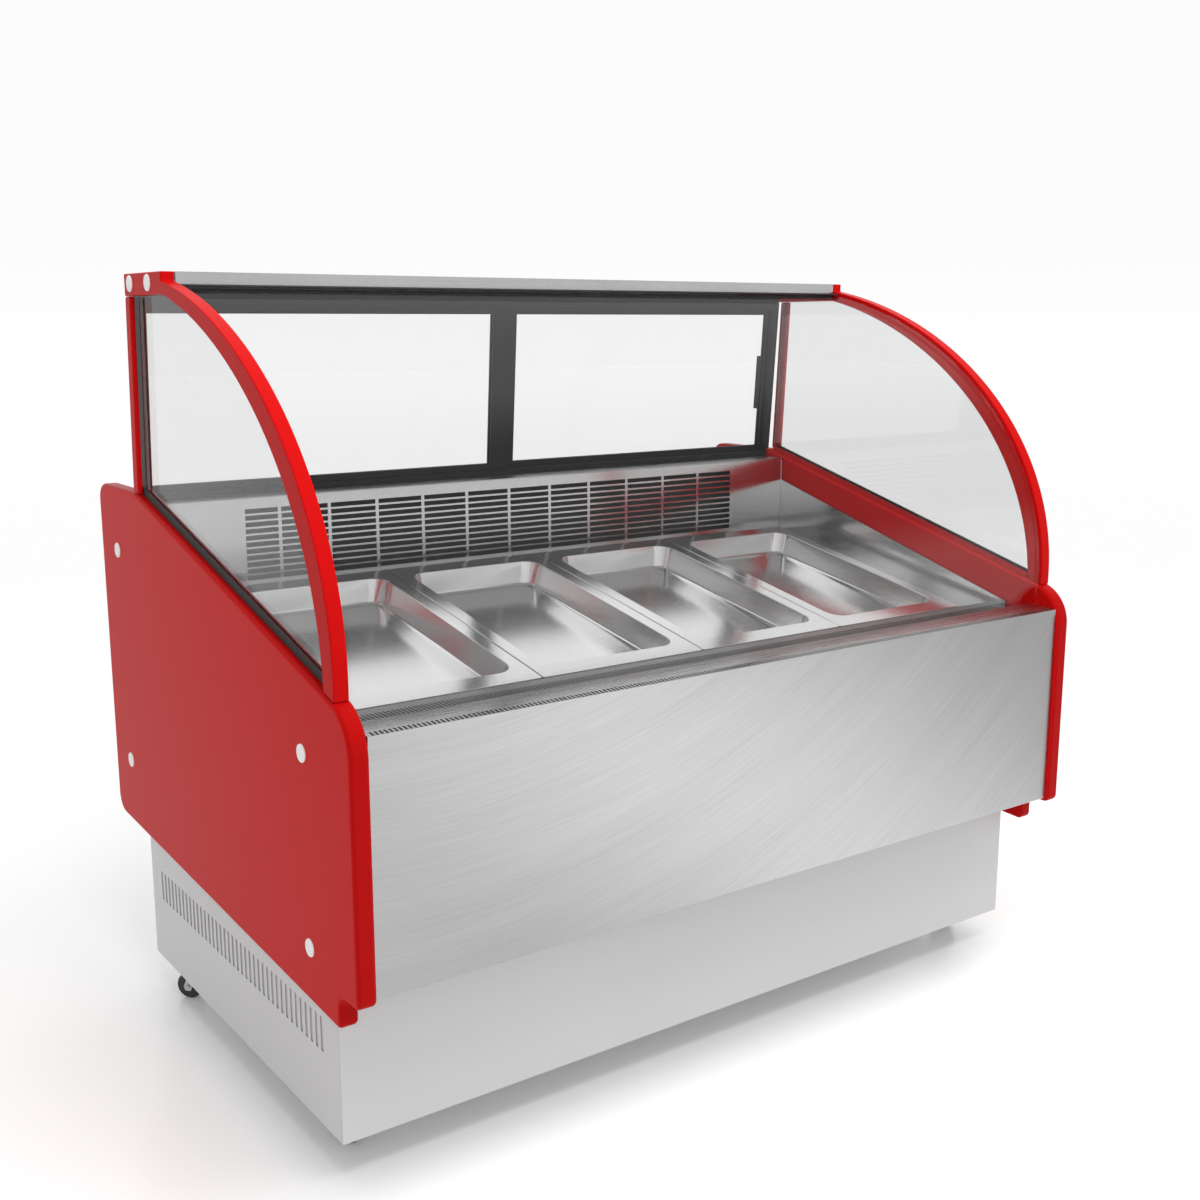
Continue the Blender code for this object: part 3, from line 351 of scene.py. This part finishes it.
def speckled(name, colour, roughness, metallic=0.0, size=500.0, bump=0.08, spread=0.25,
             specular=0.5):
    """Moulded plastic, rubber, anodised or cast surface with a fine even texture."""
    g = Graph(name, roughness, metallic)
    g.shader.inputs["Specular IOR Level"].default_value = specular
    dots = g.noise(g.stretched((size, size, size)), 3.0)
    low = tuple(c * (1 - spread) for c in colour)
    high = tuple(min(1.0, c * (1 + spread)) for c in colour)
    g.link(g.ramp(dots, 0.3, 0.7, low, high), g.shader.inputs["Base Color"])
    g.link(g.span(dots, roughness * 0.85, roughness * 1.15), g.shader.inputs["Roughness"])
    g.bump(dots, bump, 0.0002)
    return g.material


def clear_glass(name, tint, sheen, straight):
    """A pane that lets light straight through and mirrors more at a low angle.

    straight is the mirrored share of light that falls on it squarely, sheen what a grazing
    angle adds to it.
    """
    material, shader = new_material(name)
    nodes, links = material.node_tree.nodes, material.node_tree.links
    shader.inputs["Base Color"].default_value = (1.0, 1.0, 1.0, 1.0)
    shader.inputs["Metallic"].default_value = 1.0
    shader.inputs["Roughness"].default_value = 0.0
    through = nodes.new("ShaderNodeBsdfTransparent")
    through.inputs["Color"].default_value = (*tint, 1.0)
    facing = nodes.new("ShaderNodeLayerWeight")
    facing.inputs["Blend"].default_value = 0.5
    power = nodes.new("ShaderNodeMath")
    power.operation = "POWER"
    power.inputs[1].default_value = 5.0
    share = nodes.new("ShaderNodeMath")
    share.operation = "MULTIPLY_ADD"
    share.inputs[1].default_value = sheen
    share.inputs[2].default_value = straight
    mix = nodes.new("ShaderNodeMixShader")
    links.new(facing.outputs["Facing"], power.inputs[0])
    links.new(power.outputs[0], share.inputs[0])
    links.new(share.outputs[0], mix.inputs[0])
    links.new(through.outputs[0], mix.inputs[1])
    links.new(shader.outputs[0], mix.inputs[2])
    links.new(mix.outputs[0], nodes["Material Output"].inputs["Surface"])
    return material


# ------------------------------------------------------------------ shape helpers
OUTLINE_AXES = {
    "X": Matrix(((0, 0, 1), (1, 0, 0), (0, 1, 0))),
    "Y": Matrix(((1, 0, 0), (0, 0, -1), (0, 1, 0))),
    "Z": Matrix(((1, 0, 0), (0, 1, 0), (0, 0, 1))),
}
WELD = 1e-5
LEVEL = radians(0.3)          # faces that meet at less than this are merged into one
STRAIGHT = radians(89.5)      # a corner whose half angle is wider than this needs no arc


def finished_mesh(bm, name):
    mesh = bpy.data.meshes.new(name)
    bm.to_mesh(mesh)
    bm.free()
    return mesh


def add_piece(name, mesh, material, body, replaces=(), smooth=radians(32)):
    """Put a mesh in the scene with its material and body, shaded smooth, and hide the nodes it
    replaces.
    """
    obj = bpy.data.objects.new(name, mesh)
    bpy.context.scene.collection.objects.link(obj)
    mesh.materials.append(material)
    mesh.shade_smooth()
    mesh.set_sharp_from_angle(angle=smooth)
    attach(obj, body)
    if replaces:
        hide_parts(*replaces)
    return obj


def soften(obj, width, segments):
    bevel = obj.modifiers.new("rounded_edges", "BEVEL")
    bevel.width = width
    bevel.segments = segments
    bevel.limit_method = "ANGLE"
    bevel.angle_limit = radians(30)
    bevel.harden_normals = True


def prism_mesh(name, outline, axis, start, end, holes=()):
    """A flat outline, with any holes, given thickness along one axis."""
    curve = bpy.data.curves.new(name, "CURVE")
    curve.dimensions = "2D"
    curve.fill_mode = "BOTH"
    curve.extrude = abs(end - start) / 2
    for points in (outline, *holes):
        spline = curve.splines.new("POLY")
        spline.points.add(len(points) - 1)
        for point, (a, b) in zip(spline.points, points):
            point.co = (a, b, 0.0, 1.0)
        spline.use_cyclic_u = True
    flat = bpy.data.objects.new(name + "_outline", curve)
    bpy.context.scene.collection.objects.link(flat)
    depsgraph = bpy.context.evaluated_depsgraph_get()
    mesh = bpy.data.meshes.new_from_object(flat.evaluated_get(depsgraph))
    bpy.data.objects.remove(flat, do_unlink=True)
    bpy.data.curves.remove(curve)
    middle = Vector([(start + end) / 2 if letter == axis else 0.0 for letter in "XYZ"])
    mesh.transform(Matrix.Translation(middle) @ OUTLINE_AXES[axis].to_4x4())
    bm = bmesh.new()
    bm.from_mesh(mesh)
    bmesh.ops.remove_doubles(bm, verts=bm.verts, dist=WELD)
    bmesh.ops.dissolve_limit(bm, angle_limit=LEVEL, verts=bm.verts, edges=bm.edges)
    bmesh.ops.recalc_face_normals(bm, faces=bm.faces)
    bm.to_mesh(mesh)
    bm.free()
    mesh.materials.clear()
    return mesh


def rounded(corners, steps):
    """An outline from (a, b, radius) corners, each rounded by an arc."""
    points = []
    count = len(corners)
    for i, (a, b, radius) in enumerate(corners):
        here = Vector((a, b))
        back = (Vector(corners[i - 1][:2]) - here).normalized()
        ahead = (Vector(corners[(i + 1) % count][:2]) - here).normalized()
        half = back.angle(ahead) / 2
        if radius <= 0 or half > STRAIGHT:
            points.append((a, b))
            continue
        centre = here + (back + ahead).normalized() * (radius / sin(half))
        first = here + back * radius / tan(half) - centre
        sweep = (here + ahead * radius / tan(half) - centre).angle_signed(first)
        for step in range(steps + 1):
            points.append(tuple(centre + Matrix.Rotation(sweep * step / steps, 2) @ first))
    return points


def rectangle(low_a, high_a, low_b, high_b, radius=0.0, steps=4):
    """A rectangle's outline, counter-clockwise from its low corner."""
    corners = ((low_a, low_b), (high_a, low_b), (high_a, high_b), (low_a, high_b))
    return rounded([(a, b, radius) for a, b in corners], steps)


def strip(path, thickness):
    """A folded sheet seen from its edge: a path, thickened to its left side."""
    path = [Vector(point) for point in path]
    offset = []
    for i, here in enumerate(path):
        ahead = (path[min(i + 1, len(path) - 1)] - path[min(i, len(path) - 2)]).normalized()
        back = (path[max(i, 1)] - path[max(i - 1, 0)]).normalized()
        normal = (Vector((-ahead.y, ahead.x)) + Vector((-back.y, back.x))).normalized()
        offset.append(here + normal * thickness / normal.dot(Vector((-ahead.y, ahead.x))))
    return [tuple(point) for point in path + offset[::-1]]


def bent(path, radius):
    """A path with its inner corners rounded to a bend radius."""
    steps = 5
    closed = rounded([(a, b, radius) for a, b in path], steps)
    per_corner = steps + 1
    return [path[0]] + closed[per_corner:-per_corner] + [path[-1]]


def ellipse_points(curve, last_y, steps, first_z=0.0):
    """Points up an ellipse's front quarter, from its middle height or first_z to last_y."""
    centre_y, centre_z, half_y, half_z = curve
    first = asin(max(0.0, (first_z - centre_z) / half_z))
    last = acos((centre_y - last_y) / half_y)
    angles = [first + (last - first) * i / steps for i in range(steps + 1)]
    return [(centre_y - half_y * cos(t), centre_z + half_z * sin(t)) for t in angles]


def side_top(y, top):
    """Height of a sloping top edge at depth y, when it is level with top behind the knee."""
    return top + min(0.0, y - KNEE_Y) * TOP_SLOPE


# ------------------------------------------------------------------ red panels, arcs, caps
def make_side_panels(red):
    """Thick moulded sides, with every edge and corner rounded."""
    for word in ("left", "right"):
        node = word + "_side_panel"
        low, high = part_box(node)
        corners = [(low.y, STEP_Z, 0.012), (low.y, side_top(low.y, high.z), 0.075),
                   (KNEE_Y, high.z, 0.030), (high.y, high.z, 0.030),
                   (high.y, SIDE_LOW + (high.y - STEP_Y) * SIDE_RISE, 0.035),
                   (STEP_Y, SIDE_LOW, 0.010), (STEP_Y, STEP_Z, 0.018)]
        mesh = prism_mesh(node + "_shell", rounded(corners, 14), "X", low.x, high.x)
        panel = add_piece(node + "_shell", mesh, red, CABINET, (node,))
        soften(panel, PANEL_ROUND, 5)


def make_arcs(red):
    """Curved bars beside the front glass, each in one piece with the shelf's bracket."""
    for word in ("left", "right"):
        node = word + "_arc_frame"
        low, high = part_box(node)
        side_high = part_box(word + "_side_panel")[1].z
        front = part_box("top_shelf")[0].y
        foot_in = ARC_IN[0] - ARC_IN[2]
        outer = ellipse_points(ARC_OUT, front, ARC_STEPS)
        inner = ellipse_points(ARC_IN, front + BRACKET_NOTCH, ARC_STEPS,
                               side_top(foot_in, side_high) + ARC_FOOT)
        foot_out = outer[0][0]
        outline = [(foot_out, side_top(foot_out, side_high)), *outer, (front, high.z),
                   (high.y, high.z), (high.y, BRACKET_LOW), *inner[::-1],
                   (foot_in, side_top(foot_in, side_high))]
        mesh = prism_mesh(node + "_bar", outline, "X", low.x, high.x)
        arc = add_piece(node + "_bar", mesh, red, CABINET, (node,))
        soften(arc, ARC_ROUND, 3)


def make_rear_posts(red):
    """Slim round-edged posts that lean forward from the side panels to the shelf."""
    for word in ("left", "right"):
        node = word + "_rear_post"
        low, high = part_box(node)
        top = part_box(word + "_side_panel")[1].z + ABOVE_PANEL
        rear_foot, rear_head = high.y, high.y - POST_LEAN
        front_foot, front_head = rear_foot - POST_DEPTH, rear_head - POST_DEPTH
        outline = [(front_foot, side_top(front_foot, top)), (KNEE_Y, top), (rear_foot, top),
                   (rear_head, high.z), (front_head, high.z)]
        mesh = prism_mesh(node + "_bar", outline, "X", low.x, high.x)
        post = add_piece(node + "_bar", mesh, red, CABINET, (node,))
        soften(post, POST_ROUND, 5)


def make_caps(white):
    """Round domed bolt caps on the outer faces."""
    places = []
    for word, side in SIDES:
        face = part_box(word + "_side_panel")
        places += [(face[1].x if side > 0 else face[0].x, side, y, z) for y, z in CAP_PLACES]
        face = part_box(word + "_arc_frame")
        places += [(face[1].x if side > 0 else face[0].x, side, y, z) for y, z in BRACKET_CAPS]
    for index, (x, side, y, z) in enumerate(places):
        bm = bmesh.new()
        rings = [(0.0, -CAP_SINK), (CAP_RADIUS, -CAP_SINK), (CAP_RADIUS, 0.0012),
                 (CAP_RADIUS - CAP_RIM, 0.0020), (CAP_RADIUS * 0.8, 0.0026),
                 (CAP_RADIUS * 0.45, 0.0030), (0.0, 0.0031)]
        profile = [bm.verts.new((radius, 0.0, height)) for radius, height in rings]
        edges = [bm.edges.new(pair) for pair in zip(profile, profile[1:])]
        bmesh.ops.spin(bm, geom=profile + edges, cent=(0, 0, 0), axis=(0, 0, 1),
                       angle=2 * pi, steps=40, use_merge=True)
        bmesh.ops.remove_doubles(bm, verts=bm.verts, dist=WELD)
        bmesh.ops.recalc_face_normals(bm, faces=bm.faces)
        mesh = finished_mesh(bm, "bolt_cap")
        mesh.transform(Matrix.Translation((x, y, z)) @ Matrix.Rotation(side * pi / 2, 4, "Y"))
        add_piece("bolt_cap_%d" % (index + 1), mesh, white, CABINET)


def give(node, material):
    """Carry a CAD node over with a better material."""
    mesh = NODES[node].data
    mesh.materials.clear()
    mesh.materials.append(material)


# ------------------------------------------------------------------ front panel and slotted strips
def slot_row(count, low_x, high_x, low_y, high_y, share):
    """Slots spread along X; share is how much of the pitch each one opens."""
    pitch = (high_x - low_x) / count
    width = pitch * share
    slots = []
    for i in range(count):
        x = low_x + (i + 0.5) * pitch
        slots.append(rectangle(x - width / 2, x + width / 2, low_y, high_y))
    return slots


def make_front_panel(face_steel, flange_steel, black):
    """A folded sheet: face, slotted slope along its top edge, flat flange and a fold down."""
    low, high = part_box("front_panel")
    sheet, face_bend, flange_bend = 0.0012, 0.0028, 0.0020
    return_depth, front_edge, rear_edge, shade_sheet_inset = 0.020, 0.0012, 0.0014, 0.0008
    rise, run = SLOPE_DEPTH * sin(SLOPE_TILT), SLOPE_DEPTH * cos(SLOPE_TILT)
    path = bent([(low.y, high.z - rise), (low.y, low.z), (low.y + return_depth, low.z)],
                face_bend)
    mesh = prism_mesh("front_skin", strip(path, sheet), "X", low.x, high.x)
    add_piece("front_skin", mesh, face_steel, CABINET, ("front_panel",))
    slots = slot_row(SLOPE_SLOTS, low.x + SLOT_MARGIN, high.x - SLOT_MARGIN, front_edge,
                     SLOPE_DEPTH - rear_edge, SLOPE_OPEN)
    place = (Matrix.Translation((0.0, low.y, high.z - rise))
             @ Matrix.Rotation(SLOPE_TILT, 4, "X"))
    mesh = prism_mesh("front_slots", rectangle(low.x, high.x, 0.0, SLOPE_DEPTH), "Z",
                      -SLOTTED, 0.0, slots)
    mesh.transform(place)
    add_piece("front_slots", mesh, flange_steel, CABINET, ("front_panel",))
    # black sheet under the slope's slots: painted shade that makes them read dark
    outline = rectangle(low.x, high.x, shade_sheet_inset, SLOPE_DEPTH - shade_sheet_inset)
    mesh = prism_mesh("front_slot_shade_sheet", outline, "Z", -SLOTTED - SHADE_SHEET_LOW,
                      -SLOTTED - SHADE_SHEET_TOP)
    mesh.transform(place)
    add_piece("front_slot_shade_sheet", mesh, black, CABINET)
    path = bent([(low.y + run, high.z), (FLANGE_BACK, high.z),
                 (FLANGE_BACK, high.z - FLANGE_FOLD)], flange_bend)
    mesh = prism_mesh("front_flange", strip(path, -sheet), "X", low.x, high.x)
    add_piece("front_flange", mesh, flange_steel, CABINET, ("front_panel",))


def make_air_strip(material, black):
    """The slotted strip behind the front glass, drawn as thin sheet over a black sheet of painted
    shade that darkens its slots.
    """
    low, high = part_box("front_air_grille")
    top = high.z + AIR_RAISE
    side_inset, front_inset = 0.002, 0.003
    slots = slot_row(AIR_SLOTS, low.x + SLOT_MARGIN, high.x - SLOT_MARGIN, low.y + SLOT_MARGIN,
                     AIR_SLOTS_BACK, AIR_OPEN)
    mesh = prism_mesh("front_air_strip", rectangle(low.x, high.x, low.y, high.y), "Z",
                      top - SLOTTED, top, slots)
    add_piece("front_air_strip", mesh, material, CABINET,
              ("front_air_grille",))
    # black sheet under the strip's slots: painted shade
    outline = rectangle(low.x + side_inset, high.x - side_inset, low.y + front_inset,
                        AIR_SHADE_SHEET_BACK)
    mesh = prism_mesh("air_strip_shade_sheet", outline, "Z", top - SLOTTED - SHADE_SHEET_LOW,
                      top - SLOTTED - SHADE_SHEET_TOP)
    add_piece("air_strip_shade_sheet", mesh, black, CABINET)


# ------------------------------------------------------------------ pans
def rounded_loop(bm, half_x, half_y, radius, height, shift):
    outline = rectangle(-half_x, half_x, -half_y, half_y, radius, 8)
    return [bm.verts.new((x, y + shift, height)) for x, y in outline]


def pan_mesh():
    """A drawn pan: rim with a turned-down lip, rounded throat, drafted walls, filleted floor."""
    bm = bmesh.new()
    hx, hy = PAN_SIZE[0] / 2, PAN_SIZE[1] / 2
    ox, oy = PAN_OPENING[0] / 2, PAN_OPENING[1] / 2
    lip_round, throat, fillet, draft = 0.0010, 0.0012, 0.0070, 0.0090
    floor_share = 0.6
    quarter = [i * pi / 10 for i in range(6)]
    loops = [(hx, hy, PAN_CORNER, -PAN_LIP, 0.0)]
    for t in quarter:
        inset = lip_round * (1 - cos(t))
        loops.append((hx - inset, hy - inset, PAN_CORNER, -lip_round * (1 - sin(t)), 0.0))
    for t in quarter:
        grow = throat * (1 - sin(t))
        loops.append((ox + grow, oy + grow, PAN_INNER_CORNER + grow, -throat * (1 - cos(t)),
                      PAN_SHIFT))
    for t in quarter:
        inset = draft + fillet * (1 - cos(t))
        depth = PAN_DEPTH - fillet + fillet * sin(t)
        loops.append((ox - inset, oy - inset, PAN_INNER_CORNER - inset * 0.5, -depth,
                      PAN_SHIFT))
    loops.append((ox * floor_share, oy * floor_share, PAN_FLOOR_CORNER, -PAN_DEPTH, PAN_SHIFT))
    rings = [rounded_loop(bm, *loop) for loop in loops]
    for below, above in zip(rings, rings[1:]):
        count = len(below)
        for i in range(count):
            bm.faces.new((below[i], below[(i + 1) % count], above[(i + 1) % count], above[i]))
    bm.faces.new(rings[-1])
    bmesh.ops.recalc_face_normals(bm, faces=bm.faces)
    if bm.faces[:][-1].normal.z < 0:
        bmesh.ops.reverse_faces(bm, faces=bm.faces)
    return finished_mesh(bm, "gastronorm_pan")


def make_pans(material):
    """Four pans side by side, leaning with the deck."""
    for index in range(4):
        x = (index - 1.5) * PAN_PITCH
        y = PAN_FRONT[0] + PAN_SIZE[1] / 2 * cos(PAN_TILT)
        z = PAN_FRONT[1] + PAN_SIZE[1] / 2 * sin(PAN_TILT)
        mesh = pan_mesh()
        mesh.transform(Matrix.Translation((x, y, z)) @ Matrix.Rotation(PAN_TILT, 4, "X"))
        node = "pan_%d" % (index + 1)
        pan = add_piece(node + "_drawn", mesh, material, "pan_body_%d" % (index + 1),
                        (node,), radians(50))
        wall = pan.modifiers.new("sheet", "SOLIDIFY")
        wall.thickness = PAN_SHEET
        wall.offset = -1.0
        flat = pan.modifiers.new("flat_rims", "WEIGHTED_NORMAL")
        flat.keep_sharp = True


# ------------------------------------------------------------------ glass
def make_front_glass(material):
    """The curved glass: straight at its foot, then up the ellipse to the hinge."""
    centre_y, centre_z, half_y, half_z = GLASS_CURVE
    low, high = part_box("front_glass")
    outer = ellipse_points(GLASS_CURVE, GLASS_TOP_Y, GLASS_STEPS)
    inner = []
    for y, z in outer:
        normal = Vector(((y - centre_y) / half_y ** 2, (z - centre_z) / half_z ** 2))
        inner.append(tuple(Vector((y, z)) - normal.normalized() * GLASS_THICKNESS))
    outline = [(outer[0][0], low.z), *outer, *inner[::-1], (inner[0][0], low.z)]
    mesh = prism_mesh("curved_front_glass", outline, "X", low.x, high.x)
    add_piece("curved_front_glass", mesh, material, GLASS_BODY, ("front_glass",),
              radians(20))


def make_glass_lips(red):
    """A low painted lip along the inboard face of each side glass's seal."""
    for word, side in SIDES:
        low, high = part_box(word + "_glass_seal")
        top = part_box(word + "_side_panel")[1].z + ABOVE_PANEL
        front, rear = low.y + LIP_END, high.y - LIP_END
        foot = [(front, side_top(front, top)), (rear, side_top(rear, top))]
        outline = foot + [(y, z + LIP_HEIGHT) for y, z in foot[::-1]]
        inner = low.x if side > 0 else high.x
        faces = sorted((inner - side * LIP_NEAR, inner - side * LIP_FAR))
        mesh = prism_mesh(word + "_glass_lip", outline, "X", *faces)
        add_piece(word + "_glass_lip", mesh, red, CABINET)


# ------------------------------------------------------------------ base
def make_louvred_sides(white):
    """Base side skins with pressed louvres: a slanted vane behind each slot."""
    for word, side in SIDES:
        node = "base_%s_panel" % word
        give(node, white)
        low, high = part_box(node)
        face = low.x if side < 0 else high.x
        bm = bmesh.new()
        for i in range(LOUVRES):
            # slanted plate: close to the skin at the slot's rear edge, deeper at its front edge
            middle = LOUVRE_MIDDLE + (i - (LOUVRES - 1) / 2) * LOUVRE_PITCH
            y0, y1 = middle - LOUVRE_WIDTH / 2, middle + LOUVRE_WIDTH / 2 + 0.0015
            near, far = face - side * VANE_NEAR, face - side * VANE_FAR
            corners = [(far, y0 - 0.0020), (near, y1 - 0.0006), (near, y1 + 0.0008),
                       (far, y0 - 0.0008)]
            bottom = [bm.verts.new((x, y, LOUVRE_LOW - VANE_OVER)) for x, y in corners]
            top = [bm.verts.new((x, y, LOUVRE_TOP + VANE_OVER)) for x, y in corners]
            bm.faces.new(bottom)
            bm.faces.new(top[::-1])
            for a in range(4):
                b = (a + 1) % 4
                bm.faces.new((bottom[a], bottom[b], top[b], top[a]))
        bmesh.ops.recalc_face_normals(bm, faces=bm.faces)
        mesh = finished_mesh(bm, "louvre_vanes")
        add_piece(word + "_louvre_vanes", mesh, white, CABINET)


def make_rear_shade_lining(black):
    """Black duct lining behind the air slots of the rear interior panel; it is also painted shade,
    darkening the dim space seen through the slots.
    """
    low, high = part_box("rear_interior_panel")
    outline = rectangle(low.x + SHADE_LINING_INSET, high.x - SHADE_LINING_INSET, SHADE_LINING_LOW, SHADE_LINING_HIGH,
                        SHADE_LINING_CORNER)
    mesh = prism_mesh("duct_shade_lining", outline, "Y", high.y + SHADE_LINING_NEAR, high.y + SHADE_LINING_FAR)
    add_piece("duct_shade_lining", mesh, black, CABINET)


# ------------------------------------------------------------------ build
bpy.context.scene.view_settings.view_transform = "Standard"
make_camera()
make_world()
area_light("key", (-0.2, -1.3, 3.1), (0.0, -0.3, 0.8), (2.4, 1.6), 62.0)
make_floor()

# painted light: side faces get a lighter red than edges and front
RED_PANEL = red_paint("red_moulded_panel", 0.400, 0.545)
RED = red_paint("red_powder_coat", 0.500, 0.500)
WHITE = white_paint()
SWEPT = swept_steel()
BRUSHED_X = steel("brushed_steel_long", 0.59, 0.26, (4.0, 500.0, 500.0), 0.12)
POLISHED = steel("polished_steel", 0.88, 0.17, (420.0, 6.0, 420.0), 0.03, 0.002)
LINER = steel("liner_steel", 0.68, 0.16, (6.0, 6.0, 420.0), 0.04, 0.006)
DARK_STEEL = steel("strip_steel", 0.37, 0.30, (4.0, 500.0, 500.0), 0.12)
GALVANISED = speckled("zinc_plate", (0.52, 0.53, 0.54), 0.42, 1.0, 120.0, 0.05, 0.10)
BLACK_PROFILE = speckled("black_anodised", (0.022, 0.022, 0.023), 0.42, 0.0, 900.0, 0.01,
                         specular=0.14)
RUBBER = speckled("seal_rubber", (0.030, 0.026, 0.025), 0.75, 0.0, 600.0)
BLACK_PLASTIC = speckled("black_moulded", (0.030, 0.030, 0.032), 0.50)
GREY_PLASTIC = speckled("grey_moulded", (0.30, 0.30, 0.31), 0.50)
WHITE_PLASTIC = speckled("white_moulded", (0.86, 0.86, 0.84), 0.35, spread=0.03)
FOAM_SKIN = speckled("grey_skin", (0.62, 0.62, 0.63), 0.45, 0.0, 300.0, 0.04, 0.04)
COPPER = speckled("copper_tube", (0.70, 0.34, 0.20), 0.28, 1.0, 300.0, 0.03, 0.10)
FINS = steel("fin_stack", 0.70, 0.35, (4.0, 600.0, 4.0), 0.35, 0.3)
PANE = clear_glass("clear_pane", (0.972, 0.973, 0.973), 0.10, 0.008)
SIDE_PANE = clear_glass("side_pane", (0.912, 0.913, 0.914), 0.50, 0.035)
CURVED = clear_glass("curved_pane", (0.970, 0.971, 0.971), 0.07, 0.030)

make_side_panels(RED_PANEL)
make_arcs(RED)
make_rear_posts(RED)
make_caps(WHITE_PLASTIC)
make_front_panel(SWEPT, BRUSHED_X, BLACK_PROFILE)
make_air_strip(DARK_STEEL, BLACK_PROFILE)
make_pans(POLISHED)
make_front_glass(CURVED)
make_glass_lips(RED_PANEL)
make_louvred_sides(WHITE)
make_rear_shade_lining(BLACK_PLASTIC)

# the CAD nodes that keep their shape
CORNERS = ("front_left", "front_right", "rear_left", "rear_right")
FINISHES = (
    (SIDE_PANE, ("left_side_glass", "right_side_glass")),
    (PANE, ("left_door_glass", "right_door_glass")),
    (WHITE, ("base_front_panel", "base_rear_panel")),
    (BRUSHED_X, ("rear_worktop", "top_shelf")),
    (LINER, ("deck_frame", "rear_interior_panel")),
    (BLACK_PROFILE, ("door_track_frame", "left_door_frame", "right_door_frame",
                     "glass_hinge_profile", "glass_clamp_profile")),
    (RUBBER, ("left_glass_seal", "right_glass_seal")),
    (GALVANISED, ("base_frame", "condenser_fan_shroud")),
    (BLACK_PLASTIC, ("compressor", "condenser_fan", "evaporator_fan", "power_switch",
                     "thermostat_knob", "power_inlet")),
    (WHITE_PLASTIC, ("drip_tray", "evaporator_fan_housing", "led_light")),
    (FINS, ("condenser_coil", "evaporator_coil")),
    (GREY_PLASTIC, ("control_panel",)),
    (FOAM_SKIN, ("insulated_tank",)),
    (COPPER, ("discharge_line",)),
    (GALVANISED, ["castor_fork_" + corner for corner in CORNERS]),
    (BLACK_PLASTIC, ["castor_wheel_" + corner for corner in CORNERS]),
)
for finish, names in FINISHES:
    for node in names:
        give(node, finish)
